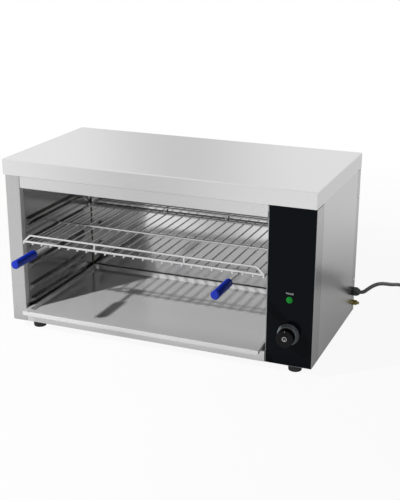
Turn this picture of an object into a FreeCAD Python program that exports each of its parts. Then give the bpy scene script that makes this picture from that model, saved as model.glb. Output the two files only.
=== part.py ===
"""An electric cheese melter: an open-fronted counter grill with a wire rack, a drip tray and a control box.

Millimetres, +Z up and +Y towards the back. The origin is on the table, under the middle of the casing
with its handles and cable gland. Each sub-part is written to its own file in parts.
"""

import FreeCAD, Part
import math
import os

V = FreeCAD.Vector
AXES = {"x": V(1, 0, 0), "y": V(0, 1, 0), "z": V(0, 0, 1)}

# Casing
lid_width = 610.0
lid_depth = 310.0
overall_height = 340.0
lid_drop = 30.0
lid_edge_radius = 2.0
slit_height = 1.2
front_slit_length = 41.0
rear_slit_length = 26.0
backing_rise = 14.0
backing_drop = 12.0
sheet = 1.0
liner_sheet = 0.8
liner_corner_gap = 2.0
inner_bend = 0.6
lid_gap = 0.3
seam = 0.4
rest_gap = 0.3
back_recess = 3.0
left_panel_inset = 4.3
post_width = 30.2
post_return = 13.0
control_width = 86.0
control_inset = 43.2
rear_return = 12.0
pan_flange = 11.0
rail_height = 20.7
rail_recess = 0.7
rail_return = 16.0
header_height = 24.0
header_recess = 1.5
header_return = 14.0
header_hem = 6.0
back_plate_inset = 2.0
back_slot_length = 46.0
back_slot_height = 4.0
back_slot_pitch = 12.0
back_slot_count = 8
back_slot_drop = 120.0
pan_slot_length = 40.0
pan_slot_width = 4.0
pan_slot_pitch = 11.0
pan_slot_count = 5
pan_slot_inset = 15.0
upright_depth = 24.0
upright_flange = 12.0
upright_low = 76.0

# Cavity liner and its runner ribs
rear_space = 34.0
roof_space = 21.0
rib_crest = 4.0
rib_upper_slope = 4.0
rib_lower_slope = 10.0
rib_depth = 6.0
rib_tip = 12.0
rib_front = 16.0
rib_back = 28.0
top_rib_drop = 99.0
fourth_rib_height = 84.0
lowest_rib_height = 56.0
rib_count = 4
rib_count_over_rack = 1
wool_edge = 4.0

# Feet and fasteners
foot_height = 18.0
foot_top_radius = 13.5
foot_bottom_radius = 12.0
foot_edge = 1.5
foot_bore_radius = 5.5
foot_bore_depth = 11.0
foot_left_inset = 42.5
foot_right_inset = 36.8
foot_front_inset = 29.0
foot_back_inset = 31.0
screw_radius = 2.0
screw_fit = 0.05
screw_head_radius = 3.6
screw_head_height = 1.7
screw_stub = 5.0
rivet_head_radius = 3.0
rivet_head_height = 0.9
rivet_radius = 1.6
dome_share = 0.9
rivet_inset = 9.6
rivet_rise = 7.0
rivet_drop = 63.0
back_screw_inset = 8.0
back_screw_rows = 3
back_screw_rise = 15.0
back_screw_drop = 10.0

# Wire rack
rack_side_gap = 3.0
rack_front = 1.0
rack_rear_gap = 8.0
cross_wire_radius = 2.25
long_wire_radius = 1.5
long_wire_count = 26
weld_bite = 0.4
weld_gap = 0.08
wire_nub = 3.0
rail_wire_radius = 2.0
rail_rise = 13.0
rail_end_run = 13.0
rail_bend = 6.0
post_wire_radius = 1.8
front_post_spacing = 180.0
back_post_spacing = 137.0

# Handles
handle_reach = 110.0
grip_length = 69.0
grip_radius = 8.0
grip_rear_radius = 5.0
grip_front_radius = 2.6
grip_bore_depth = 50.0
handle_rod_radius = 2.8
rod_fit = 0.1
bay_count_before_left_rod = 2
bay_count_before_right_rod = 22
bay_middle_share = 0.5
hook_depth = 12.0
hook_overlap = 4.0
hook_thickness = 1.5
hook_neck = 2.0

# Drip tray
tray_side_gap = 5.0
tray_rear_gap = 3.0
tray_reach = 20.0
tray_depth = 8.0
tray_slope = 2.5
tray_side_rim = 6.0
tray_front_rim = 14.0
tray_lip = 8.0
tray_edge = 7.0
tray_corner = 9.0

# Control panel, knob and lamp
fascia_inset = 2.0
fascia_thickness = 2.0
fascia_corner = 0.5
knob_height = 79.0
lamp_height = 143.0
knob_gap = 0.6
knob_reach = 24.5
skirt_radius = 20.0
skirt_top_radius = 17.2
skirt_thickness = 11.0
skirt_rim = 2.0
grip_knob_radius = 16.3
grip_knob_top_radius = 15.6
knob_edge = 1.2
pointer_width = 1.6
pointer_depth = 0.6
pointer_length = 7.0
shaft_radius = 3.0
shaft_bush_radius = 5.0
shaft_running_gap = 0.06
shaft_in_knob = 16.0
shaft_in_body = 14.0
thermostat_width = 38.0
thermostat_depth = 24.0
capillary_radius = 1.1
capillary_bend = 10.0
capillary_rise = 7.0
capillary_side = 14.0
bulb_radius = 3.0
bulb_length = 90.0
bulb_back_gap = 12.0
lens_radius = 6.0
lens_neck_radius = 4.6
lens_reach = 3.0
lens_rim = 1.2
lamp_body_radius = 6.5
lamp_body_length = 20.0
lamp_tab_width = 3.0
lamp_tab_length = 7.0
lamp_tab_thickness = 0.8

# Heating elements
element_radius = 4.0
element_drop = 18.0
element_front = 45.0
element_rear_gap = 51.0
element_space_share = 0.75
element_count = 3
element_left_gap = 22.0
element_tail = 20.0
element_names = ("front", "middle", "rear")
element_hole_gap = 0.2
support_sheet = 1.2
support_shares = (0.25, 0.75)
support_lip = 4.0
support_margin = 14.0
support_foot = 10.0
clip_width = 12.0
flange_thickness = 1.5
flange_margin = 10.0
terminal_radius = 3.0
terminal_length = 12.0
stud_wire_radius = 1.8
stud_wire_length = 6.0

# Wiring
block_length = 44.0
block_depth = 20.0
block_height = 17.0
block_gap_to_panel = 24.0
block_back_inset = 66.0
block_well_count = 3
block_well_radius = 3.0
block_well_depth = 9.0
wire_radius = 1.2
wire_bend = 8.0
wire_end_gap = 0.2
wire_spacing = 4.0

# Cable gland and bonding stud
gland_reach = 14.7
gland_back_inset = 17.0
gland_height = 62.3
gland_flange_radius = 9.4
gland_flange_thickness = 3.6
gland_thread_radius = 6.8
gland_thread_length = 12.0
gland_dome_radius = 5.6
gland_dome_length = 5.0
gland_nut_chamfer = 0.8
locknut_thickness = 4.0
stud_back_inset = 10.0
stud_height = 36.0
stud_radius = 3.0
stud_reach = 12.7
stud_inside = 12.0
stud_nut_radius = 5.5
stud_nut_thickness = 4.6
stud_washer_radius = 6.2
stud_washer_thickness = 1.2

# Power cord: its route is a list of points from the middle of the lid's front edge on the table
cord_radius = 3.75
cord_fit = 0.1
arc_share = 0.45
cord_route = [
    (319.7, 290.0, 62.3),
    (326.9, 290.0, 62.3),
    (335.2, 293.4, 70.2),
    (346.8, 302.3, 77.5),
    (356.0, 319.0, 75.6),
    (362.2, 343.5, 66.8),
    (367.4, 375.0, 55.0),
    (371.6, 411.0, 43.5),
    (376.5, 447.0, 29.0),
    (383.0, 479.0, 16.5),
    (393.0, 504.0, 8.5),
    (410.0, 521.0, 5.05),
    (428.0, 528.0, 5.05),
    (444.0, 528.0, 5.05),
]
turn_radius = 48.5
turn_gap = 0.9
turn_count_in = 2.25
turn_count_out = 2.0
stop_count_per_turn = 4
tie_thickness = 1.0
tie_width = 12.0
tie_gap = 0.3
tie_edge = 0.9
tail_length = 56.0
self_gap_step = 2.0
self_gap_diameter_count = 4
tick_share = 0.001

# Mains plug
plug_radius = 18.5
plug_body_length = 30.0
plug_neck_length = 24.0
plug_neck_radius = 6.0
plug_shoulder_radius = 11.0
plug_edge = 2.0
plug_cord_height = 18.6
pin_radius = 2.4
pin_length = 19.0
pin_spacing = 19.0
pin_tip = 1.2
earth_clip_width = 5.0
earth_clip_length = 14.0
earth_clip_thickness = 0.9

# General
full_turn_degrees = 360.0
overrun = 5.0
hex_side_count = 6
same_place = 1e-6

# Places worked out from the sizes above
x_mid = -gland_reach / 2
front_y = (handle_reach - lid_depth) / 2
left_x = x_mid - lid_width / 2 + left_panel_inset
right_x = x_mid + lid_width / 2
face_y = front_y + sheet + lid_gap
rear_y = front_y + lid_depth - back_recess
lid_bottom = overall_height - lid_drop
under_lid = overall_height - sheet
pan_top = foot_height + sheet
bend = sheet + inner_bend
liner_bend = liner_sheet + inner_bend
cavity_left = left_x + post_width
cavity_right = right_x - control_width
cavity_back = front_y + lid_depth - rear_space
reflector_height = under_lid - roof_space
element_height = reflector_height - element_drop
capillary_height = element_height + capillary_rise
element_span = cavity_back - element_rear_gap - front_y - element_front
element_legs = element_span / (element_count + element_space_share * (element_count - 1))
rivet_low = upright_low + rivet_rise
rivet_high = reflector_height - rivet_drop
liner_front = face_y + post_return + seam
rail_top = foot_height + rail_height
fascia_left = cavity_right + fascia_inset
fascia_right = right_x - lid_gap
fascia_back = face_y + fascia_thickness
control_x = cavity_right + control_inset
bracket_back = fascia_back + sheet
panel_top = under_lid - rest_gap
gland_y = front_y + lid_depth - gland_back_inset - back_recess
stud_y = front_y + lid_depth - stud_back_inset - back_recess


def block(x, y, z):
    """A box between the low and high values of x, y and z."""
    return Part.makeBox(x[1] - x[0], y[1] - y[0], z[1] - z[0], V(x[0], y[0], z[0]))


def around(middle, width):
    """The low and high value of a width about its middle."""
    return (middle - width / 2, middle + width / 2)


def bar(axis, ends, centre, radius):
    """A round bar along an axis, between its two ends; centre holds the other two coordinates in order."""
    start = {"x": (ends[0], *centre), "y": (centre[0], ends[0], centre[1]), "z": (*centre, ends[0])}[axis]
    return Part.makeCylinder(radius, ends[1] - ends[0], V(*start), AXES[axis])


def group(shapes):
    """Several separate solids as one node."""
    return Part.makeCompound(shapes)


def joined(shapes):
    """Shapes that are one piece on the real object."""
    return shapes[0].multiFuse(shapes[1:]).removeSplitter()


def rounded_wire(points, radii, place, closed=True):
    """A wire through 2D or 3D points whose corners are arcs of the given radii, moved by place."""
    corners = [V(*point) for point in points]
    last = len(corners) - 1
    stops = []
    for index, corner in enumerate(corners):
        radius = radii[index]
        if radius == 0 or (not closed and index in (0, last)):
            stops.append((corner, None, corner))
            continue
        to_before = (corners[index - 1] - corner).normalize()
        to_after = (corners[(index + 1) % len(corners)] - corner).normalize()
        half = to_before.getAngle(to_after) / 2
        cut = radius / math.tan(half)
        centre = corner + (to_before + to_after).normalize() * (radius / math.sin(half))
        middle = centre + (corner - centre).normalize() * radius
        stops.append((corner + to_before * cut, middle, corner + to_after * cut))
    edges = []
    for index, (start, middle, end) in enumerate(stops):
        if middle:
            edges.append(Part.Arc(place(start), place(middle), place(end)).toShape())
        if index == last and not closed:
            break
        following = stops[(index + 1) % len(stops)][0]
        if (following - end).Length > same_place:
            edges.append(Part.LineSegment(place(end), place(following)).toShape())
    return Part.Wire(edges)


def prism(axis, points, radii, ends):
    """A flat outline with rounded corners, drawn across an axis and extruded along it."""
    place = {
        "x": lambda p: V(ends[0], p.x, p.y),
        "y": lambda p: V(p.x, ends[0], p.y),
        "z": lambda p: V(p.x, p.y, ends[0]),
    }[axis]
    face = Part.Face(rounded_wire([(*point, 0) for point in points], radii, place))
    return face.extrude(AXES[axis] * (ends[1] - ends[0]))


def folded(axis, line, thickness, outer_bend, ends):
    """Sheet bent along a line: its thickness lies to the left of the line, and it runs along the axis."""
    points = [V(*point, 0) for point in line]
    normals = []
    for start, end in zip(points, points[1:]):
        along = (end - start).normalize()
        normals.append(V(-along.y, along.x, 0))
    other = [points[0] + normals[0] * thickness]
    line_radii = [0]
    other_radii = [0]
    for index in range(1, len(points) - 1):
        before, after = normals[index - 1], normals[index]
        other.append(points[index] + (before + after) * (thickness / (1 + before.dot(after))))
        turns_left = before.cross(after).z > 0
        line_radii.append(outer_bend if turns_left else outer_bend - thickness)
        other_radii.append(outer_bend - thickness if turns_left else outer_bend)
    other.append(points[-1] + normals[-1] * thickness)
    outline = points + other[::-1]
    radii = line_radii + [0, 0] + other_radii[:0:-1] + [0]
    return prism(axis, [(p.x, p.y) for p in outline], radii, ends)


def turned(points, radii, origin, direction):
    """A solid of revolution: points are (radius, distance along the direction) pairs."""
    wire = rounded_wire([(*point, 0) for point in points], radii, lambda p: V(p.x, 0, p.y))
    solid = Part.Face(wire).revolve(V(0, 0, 0), AXES["z"], full_turn_degrees)
    solid.Placement = FreeCAD.Placement(origin, FreeCAD.Rotation(AXES["z"], direction))
    return solid


def hexagon(radius, thickness, origin, direction):
    """A six-sided nut blank, across corners twice the radius."""
    ring = [math.radians(full_turn_degrees / hex_side_count * side) for side in range(hex_side_count)]
    wire = Part.makePolygon([V(radius * math.cos(a), radius * math.sin(a), 0) for a in ring + ring[:1]])
    solid = Part.Face(wire).extrude(AXES["z"] * thickness)
    solid.Placement = FreeCAD.Placement(origin, FreeCAD.Rotation(AXES["z"], direction))
    return solid


def swept(path, radius):
    """A round tube along a wire."""
    start = path.Edges[0]
    point = start.valueAt(start.FirstParameter)
    along = start.tangentAt(start.FirstParameter)
    ring = Part.Wire(Part.makeCircle(radius, point, along))
    return path.makePipeShell([ring], True, False)


def tube(points, radius, bend_radius):
    """Wire or tube bent to one radius at each of its corners."""
    path = rounded_wire(points, [bend_radius] * len(points), lambda p: p, closed=False)
    return swept(path, radius)


def without(shape, tools):
    """The shape with each tool cut out of it."""
    for tool in tools:
        shape = shape.cut(tool)
    return shape


def in_frame(point):
    """A point given from the middle of the lid's front edge on the table, in the part's own frame."""
    return V(point[0] + x_mid, point[1] + front_y, point[2])


def make_lid():
    """The top cover, folded down on all four sides."""
    low = lid_bottom
    outer = block(around(x_mid, lid_width), (front_y, front_y + lid_depth), (low, overall_height))
    inner = block(
        around(x_mid, lid_width - 2 * sheet),
        (front_y + sheet, front_y + lid_depth - sheet),
        (low - overrun, under_lid),
    )
    shell = []
    for solid, radius in ((outer, lid_edge_radius), (inner, lid_edge_radius - sheet)):
        edges = [e for e in solid.Edges if max(v.Point.z for v in e.Vertexes) > low]
        shell.append(solid.makeFillet(radius, edges))
    return {"top_cover": shell[0].cut(shell[1])}


def side_holes(side):
    """The bores of the rivets, through one side panel and the upright behind it."""
    x = left_x if side == "left" else right_x
    return [
        bar("x", around(x, 2 * overrun), (rear_y - rivet_inset, z), rivet_radius + screw_fit)
        for z in (rivet_low, rivet_high)
    ]


def make_side_panels():
    """The left panel with its wide post, and the right panel, flush with the lid and slit below it."""
    left_line = [
        (left_x + rear_return, rear_y),
        (left_x, rear_y),
        (left_x, face_y),
        (cavity_left, face_y),
        (cavity_left, face_y + post_return),
    ]
    right_line = [
        (right_x - rear_return, fascia_back),
        (right_x, fascia_back),
        (right_x, rear_y),
        (right_x - rear_return, rear_y),
    ]
    left = folded("z", left_line, sheet, bend, (foot_height, panel_top))
    right = folded("z", right_line, sheet, bend, (foot_height, lid_bottom))
    slit_x = (right_x - rear_return - sheet, right_x + sheet)
    slit_z = (lid_bottom - slit_height, lid_bottom + sheet)
    slit_ends = (front_y + front_slit_length, front_y + lid_depth - rear_slit_length)
    slits = [
        block(slit_x, (face_y, slit_ends[0]), slit_z),
        block(slit_x, (slit_ends[1], rear_y + sheet), slit_z),
    ]
    backing = block(
        (right_x - 2 * sheet, right_x - sheet),
        (slit_ends[0], min(slit_ends[1], rear_y - bend - upright_depth - seam)),
        (lid_bottom - backing_drop, lid_bottom + backing_rise),
    )
    cable_holes = [
        bar("x", around(right_x, 2 * overrun), (gland_y, gland_height), gland_thread_radius + screw_fit),
        bar("x", around(right_x, 2 * overrun), (stud_y, stud_height), stud_radius + screw_fit),
    ]
    back_bores = back_screw_bores()
    right = without(right, side_holes("right") + cable_holes + back_bores + slits)
    return {
        "left_side_panel": without(left, side_holes("left") + back_bores),
        "right_side_panel": joined([right, backing]),
    }


def back_screw_places():
    """Where the back panel is screwed to the side panels' returns, as (x, z) pairs."""
    low = foot_height + back_screw_rise
    step = (lid_bottom - back_screw_drop - low) / (back_screw_rows - 1)
    rows = [low + step * row for row in range(back_screw_rows)]
    return [(x, z) for x in (left_x + back_screw_inset, right_x - back_screw_inset) for z in rows]


def back_screw_bores():
    """Bores for the back panel's screws."""
    ends = (rear_y - 2 * sheet, rear_y + 2 * sheet)
    return [bar("y", ends, place, screw_radius + screw_fit) for place in back_screw_places()]


def make_back():
    """The back panel with its cooling slots, its screws and the uprights in the rear corners."""
    plate = block(
        (left_x + back_plate_inset, right_x - back_plate_inset),
        (rear_y, rear_y + sheet),
        (foot_height + back_plate_inset, under_lid - back_plate_inset),
    )
    slots = []
    for row in range(back_slot_count):
        middle = lid_bottom - back_slot_drop + back_slot_pitch * row
        low, high = around(middle, back_slot_height)
        left, right = around((cavity_right + right_x) / 2, back_slot_length)
        outline = [(left, low), (right, low), (right, high), (left, high)]
        depth = (rear_y - sheet, rear_y + 2 * sheet)
        slots.append(prism("y", outline, [back_slot_height / 2] * len(outline), depth))
    screws = []
    for x, z in back_screw_places():
        head = [
            (0, 0),
            (screw_head_radius, 0),
            (screw_head_radius, screw_head_height),
            (0, screw_head_height),
        ]
        dome = turned(head, [0, 0, screw_head_height / 2, 0], V(x, rear_y + sheet, z), AXES["y"])
        shank = bar("y", (rear_y + sheet - screw_stub, rear_y + sheet), (x, z), screw_radius)
        screws.append(joined([dome, shank]))
    back = rear_y - sheet - inner_bend
    front = back - upright_depth
    left, right = left_x + sheet, right_x - sheet
    left_line = [(left, back), (left, front), (left + upright_flange, front)]
    right_line = [(right - upright_flange, front), (right, front), (right, back)]
    height = (upright_low, reflector_height - rest_gap)
    uprights = []
    for side, line in (("left", left_line), ("right", right_line)):
        uprights.append(without(folded("z", line, sheet, bend, height), side_holes(side)))
    rivets = []
    for side, x in ((-1, left_x), (1, right_x)):
        for z in (rivet_low, rivet_high):
            centre = V(x, rear_y - rivet_inset, z)
            head = [
                (0, 0),
                (rivet_head_radius, 0),
                (rivet_head_radius, rivet_head_height),
                (0, rivet_head_height),
            ]
            dome = turned(head, [0, 0, rivet_head_height * dome_share, 0], centre, AXES["x"] * side)
            ends = sorted((x, x - side * (2 * sheet + rivet_head_height)))
            pin = bar("x", ends, (centre.y, centre.z), rivet_radius)
            rivets.append(joined([dome, pin]))
    return {
        "back_panel": without(plate, slots + back_screw_bores()),
        "back_panel_screws": group(screws),
        "rear_uprights": group(uprights),
        "side_panel_rivets": group(rivets),
    }


def foot_places():
    """The four feet, as name and (x, y)."""
    xs = {"left": left_x + foot_left_inset, "right": right_x - foot_right_inset}
    ys = {"front": front_y + foot_front_inset, "rear": front_y + lid_depth - foot_back_inset}
    return {f"{row}_{side}": (xs[side], ys[row]) for row in ys for side in xs}


def make_base():
    """The base pan on its four rubber feet, with their screws."""
    line = [
        (left_x + sheet, foot_height + pan_flange),
        (left_x + sheet, foot_height),
        (right_x - sheet, foot_height),
        (right_x - sheet, foot_height + pan_flange),
    ]
    pan_front = face_y + rail_recess + sheet
    pan = folded("y", line, sheet, bend, (pan_front, rear_y - sheet - inner_bend))
    notch_z = (foot_height - sheet, foot_height + 2 * pan_flange)
    openings = [
        block((left_x, cavity_left + seam), (face_y, liner_front), notch_z),
        block((right_x - rear_return - seam, right_x), (face_y, bracket_back + inner_bend), notch_z),
    ]
    for slot in range(pan_slot_count):
        x = cavity_right + pan_slot_inset + pan_slot_pitch * slot
        y = around((front_y + rear_y) / 2, pan_slot_length)
        openings.append(block((x, x + pan_slot_width), y, (foot_height - sheet, pan_top + sheet)))
    parts = {}
    screws = []
    for name, (x, y) in foot_places().items():
        profile = [
            (screw_radius + screw_fit, foot_bore_depth),
            (foot_bore_radius, foot_bore_depth),
            (foot_bore_radius, 0),
            (foot_bottom_radius, 0),
            (foot_top_radius, foot_height),
            (screw_radius + screw_fit, foot_height),
        ]
        radii = [0, 0, 0, foot_edge, foot_edge / 2, 0]
        parts[f"foot_{name}"] = turned(profile, radii, V(x, y, 0), AXES["z"])
        head_low = foot_bore_depth - screw_head_height
        head = bar("z", (head_low, foot_bore_depth), (x, y), screw_head_radius)
        shank = bar("z", (head_low, pan_top + screw_stub), (x, y), screw_radius)
        screws.append(joined([head, shank]))
        openings.append(bar("z", (0, pan_top + overrun), (x, y), screw_radius + screw_fit))
    parts["base_pan"] = without(pan, openings)
    parts["foot_screws"] = group(screws)
    return parts


def make_front():
    """The header above the opening and the rail below it."""
    x = (cavity_left + seam, cavity_right - seam)
    header_y = face_y + header_recess
    header_low = lid_bottom - header_height
    header = [
        (header_y, under_lid),
        (header_y, header_low),
        (header_y + header_return, header_low),
        (header_y + header_return, header_low + header_hem),
    ]
    rail_y = face_y + rail_recess
    rail = [
        (rail_y + rail_return, rail_top),
        (rail_y, rail_top),
        (rail_y, foot_height),
    ]
    return {
        "front_header": folded("x", header, sheet, bend, x),
        "lower_front_rail": folded("x", rail, sheet, bend, x),
    }


def slot_wire(x, y_ends, z, half):
    """A slot outline across X: two straight runs and two round ends."""
    (front, back), tip = y_ends, half
    points = [
        V(x, front + tip, z - half),
        V(x, back - tip, z - half),
        V(x, back, z),
        V(x, back - tip, z + half),
        V(x, front + tip, z + half),
        V(x, front, z),
    ]
    return Part.Wire(
        [
            Part.LineSegment(points[0], points[1]).toShape(),
            Part.Arc(points[1], points[2], points[3]).toShape(),
            Part.LineSegment(points[3], points[4]).toShape(),
            Part.Arc(points[4], points[5], points[0]).toShape(),
        ]
    )


def rib_heights():
    """The middle height of each pressed runner rib's crest, from the top one down."""
    top = reflector_height - top_rib_drop
    pitch = (top - fourth_rib_height) / (rib_count - 1)
    return [top - pitch * index for index in range(rib_count)] + [lowest_rib_height]


def pressed_ribs(x, side, shift):
    """The solids that press the ribs into a side wall; side is the direction of the cavity."""
    front, back = front_y + rib_front, cavity_back - rib_back
    crest_ends = (front + rib_tip, back - rib_tip)
    rib_height = rib_upper_slope + rib_crest + rib_lower_slope
    base_drop = (rib_lower_slope - rib_upper_slope) / 2
    ribs = []
    for z in rib_heights():
        base = slot_wire(x + shift, (front, back), z - base_drop, rib_height / 2)
        crest = slot_wire(x + shift + side * rib_depth, crest_ends, z, rib_crest / 2)
        ribs.append(Part.makeLoft([base, crest], True, True))
    return ribs


def element_rows():
    """The two leg positions of each hairpin element, from the front."""
    first = front_y + element_front
    pitch = element_legs * (1 + element_space_share)
    return [(first + pitch * row, first + pitch * row + element_legs) for row in range(element_count)]


def element_bores(x, extra):
    """Bores round the elements' legs at a wall or plate."""
    return [
        bar("x", around(x, 2 * overrun), (y, element_height), element_radius + extra)
        for row in element_rows()
        for y in row
    ]


def make_liner():
    """The cavity's side walls with their runner ribs, its back wall, floor and reflector, and the wool."""
    height = (pan_top, reflector_height)
    depth = (liner_front, cavity_back - seam)
    walls = {}
    for name, x, side in (("liner_left", cavity_left, 1), ("liner_right", cavity_right, -1)):
        thickness = sorted((x, x - side * liner_sheet))
        wall = block(thickness, depth, height)
        pressed = joined([wall] + pressed_ribs(x, side, 0))
        walls[name] = without(pressed, pressed_ribs(x, side, -side * liner_sheet))
    capillary_hole = bar(
        "x",
        around(cavity_right, 2 * overrun),
        (cavity_back - bulb_back_gap, capillary_height),
        capillary_radius + screw_fit,
    )
    right_bores = element_bores(cavity_right, element_hole_gap) + [capillary_hole]
    walls["liner_right"] = without(walls["liner_right"], right_bores)
    across = (cavity_left - liner_sheet, cavity_right + liner_sheet)
    between = (cavity_left + liner_corner_gap, cavity_right - liner_corner_gap)
    behind = cavity_back + liner_sheet
    walls["liner_back"] = block(between, (cavity_back, behind), height)
    walls["reflector"] = block(
        across, (liner_front, behind), (reflector_height, reflector_height + liner_sheet)
    )
    floor_line = [
        (cavity_right - seam, pan_top),
        (cavity_right - seam, rail_top),
        (cavity_left + seam, rail_top),
        (cavity_left + seam, pan_top),
    ]
    floor_front = face_y + rail_recess + rail_return + seam
    walls["cavity_floor"] = folded(
        "y", floor_line, liner_sheet, liner_bend, (floor_front, cavity_back - seam)
    )
    wool_z = (pan_top + pan_flange, under_lid - wool_edge)
    walls["insulation_top"] = block(
        (cavity_left, cavity_right),
        (liner_front + wool_edge, cavity_back),
        (reflector_height + liner_sheet, under_lid - rest_gap),
    )
    walls["insulation_left"] = block(
        (left_x + sheet + rest_gap, cavity_left - liner_sheet - rest_gap),
        (liner_front + wool_edge, rear_y - bend - upright_depth - rest_gap),
        wool_z,
    )
    walls["insulation_back"] = block(
        (cavity_left, cavity_right), (behind + rest_gap, rear_y - rest_gap), wool_z
    )
    return walls


def make_control_panel():
    """The black fascia over its steel bracket, and the pilot lamp."""
    front = block(
        (fascia_left, fascia_right), (face_y, fascia_back), (pan_top, lid_bottom - seam)
    )
    edges = [e for e in front.Edges if max(v.Point.y for v in e.Vertexes) < face_y + same_place]
    fascia = front.makeFillet(fascia_corner, edges)
    line = [
        (cavity_right, face_y + post_return),
        (cavity_right, fascia_back),
        (right_x - rear_return - seam, fascia_back),
    ]
    bracket = folded("z", line, sheet, bend, (pan_top, under_lid))
    through = (face_y - overrun, bracket_back + overrun)
    bores = [
        bar("y", through, (control_x, knob_height), shaft_bush_radius),
        bar("y", through, (control_x, lamp_height), lens_neck_radius + screw_fit),
    ]
    lens = [
        (0, -lens_reach),
        (lens_radius, -lens_reach / 2),
        (lens_radius, 0),
        (lens_neck_radius, 0),
        (lens_neck_radius, fascia_thickness + sheet),
        (0, fascia_thickness + sheet),
    ]
    lens_radii = [0, lens_rim, 0, 0, 0, 0]
    body_start = bracket_back
    body = bar("y", (body_start, body_start + lamp_body_length), (control_x, lamp_height), lamp_body_radius)
    tabs = []
    for side in (-1, 1):
        tabs.append(
            block(
                around(control_x + side * lamp_body_radius / 2, lamp_tab_width),
                (body_start + lamp_body_length, body_start + lamp_body_length + lamp_tab_length),
                around(lamp_height, lamp_tab_thickness),
            )
        )
    return {
        "control_panel": without(fascia, bores),
        "control_bracket": without(bracket, bores),
        "pilot_lamp_lens": turned(lens, lens_radii, V(control_x, face_y, lamp_height), AXES["y"]),
        "pilot_lamp_body": joined([body] + tabs),
    }


def make_thermostat():
    """The thermostat behind the panel, its sensing bulb and capillary, and its shaft and knob."""
    y = (bracket_back, bracket_back + thermostat_depth)
    body = block(around(control_x, thermostat_width), y, around(knob_height, thermostat_width))
    shaft_ends = (face_y - knob_gap - shaft_in_knob, bracket_back + shaft_in_body)
    shaft = bar("y", shaft_ends, (control_x, knob_height), shaft_radius)
    socket_ends = (bracket_back - overrun, shaft_ends[1] + shaft_running_gap)
    socket = bar("y", socket_ends, (control_x, knob_height), shaft_radius + shaft_running_gap)
    top = knob_height + thermostat_width / 2
    bulb_y = cavity_back - bulb_back_gap
    start_y = bracket_back + thermostat_depth / 2
    bulb_end = cavity_right - capillary_bend * 2
    capillary = tube(
        [
            (control_x - capillary_side, start_y, top),
            (control_x - capillary_side, start_y, capillary_height),
            (control_x - capillary_side, bulb_y, capillary_height),
            (bulb_end, bulb_y, capillary_height),
        ],
        capillary_radius,
        capillary_bend,
    )
    bulb = bar("x", (bulb_end - bulb_length, bulb_end), (bulb_y, capillary_height), bulb_radius)
    knob_back = V(control_x, face_y - knob_gap, knob_height)
    skirt = [
        (grip_knob_radius, 0),
        (skirt_radius, 0),
        (skirt_radius, skirt_rim),
        (skirt_top_radius, skirt_thickness),
        (grip_knob_radius, skirt_thickness),
    ]
    bore = shaft_radius + screw_fit
    grip = [
        (bore, 0),
        (grip_knob_radius - screw_fit, 0),
        (grip_knob_radius - screw_fit, skirt_thickness),
        (grip_knob_top_radius, knob_reach - knob_gap),
        (0, knob_reach - knob_gap),
        (0, shaft_in_knob + screw_fit),
        (bore, shaft_in_knob + screw_fit),
    ]
    knob = turned(grip, [0, 0, 0, knob_edge, 0, 0, 0], knob_back, -AXES["y"])
    groove = block(
        around(control_x, pointer_width),
        (knob_back.y - knob_reach, knob_back.y - knob_reach + knob_gap + pointer_depth),
        (knob_height + grip_knob_radius - pointer_length, knob_height + grip_knob_radius + overrun),
    )
    return {
        "thermostat_body": body.cut(socket),
        "capillary_tube": capillary,
        "thermostat_bulb": bulb,
        "thermostat_shaft": shaft,
        "knob_skirt": turned(skirt, [0, knob_edge / 2, 0, knob_edge / 2, 0], knob_back, -AXES["y"]),
        "thermostat_knob": knob.cut(groove),
    }


def make_heating():
    """Three hairpin elements under the reflector, with their supports, flange plates and terminals."""
    parts = {}
    flanges = []
    terminals = []
    start = cavity_right + liner_sheet + element_tail
    loop_x = cavity_left + element_left_gap + element_legs / 2
    plate_x = (cavity_right + liner_sheet, cavity_right + liner_sheet + flange_thickness)
    bores = element_bores(cavity_right, screw_fit)
    for name, (front, back) in zip(element_names, element_rows()):
        middle = (front + back) / 2
        legs = [
            Part.LineSegment(V(start, front, element_height), V(loop_x, front, element_height)).toShape(),
            Part.Arc(
                V(loop_x, front, element_height),
                V(loop_x - element_legs / 2, middle, element_height),
                V(loop_x, back, element_height),
            ).toShape(),
            Part.LineSegment(V(loop_x, back, element_height), V(start, back, element_height)).toShape(),
        ]
        parts[f"heating_element_{name}"] = swept(Part.Wire(legs), element_radius)
        plate = block(
            plate_x, (front - flange_margin, back + flange_margin), around(element_height, 2 * flange_margin)
        )
        flanges.append(without(plate, bores))
        for y in (front, back):
            sleeve = bar("x", (start, start + terminal_length), (y, element_height), terminal_radius)
            pin_end = start + terminal_length + stud_wire_length
            pin = bar("x", (start + terminal_length, pin_end), (y, element_height), stud_wire_radius)
            terminals.append(joined([sleeve, pin]))
    first, last = element_rows()[0][0], element_rows()[-1][1]
    supports = []
    for share in support_shares:
        x = cavity_left + (cavity_right - cavity_left) * share
        line = [
            (x - support_foot, reflector_height),
            (x, reflector_height),
            (x, element_height - element_radius - support_lip),
        ]
        strip = folded("y", line[::-1], support_sheet, support_sheet + inner_bend,
                       (first - support_margin, last + support_margin))
        supports.append(without(strip, element_bores(x, element_hole_gap)))
    bulb_y = cavity_back - bulb_back_gap
    bulb_x = cavity_right - 2 * capillary_bend - bulb_length / 2
    clip = block(
        around(bulb_x, flange_margin),
        around(bulb_y, clip_width),
        (capillary_height - 2 * bulb_radius, reflector_height),
    )
    clip_bore = bar("x", around(bulb_x, 2 * flange_margin), (bulb_y, capillary_height),
                    bulb_radius + screw_fit)
    supports.append(clip.cut(clip_bore))
    parts["element_supports"] = group(supports)
    parts["element_flanges"] = group(flanges)
    parts["element_terminals"] = group(terminals)
    return parts


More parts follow.
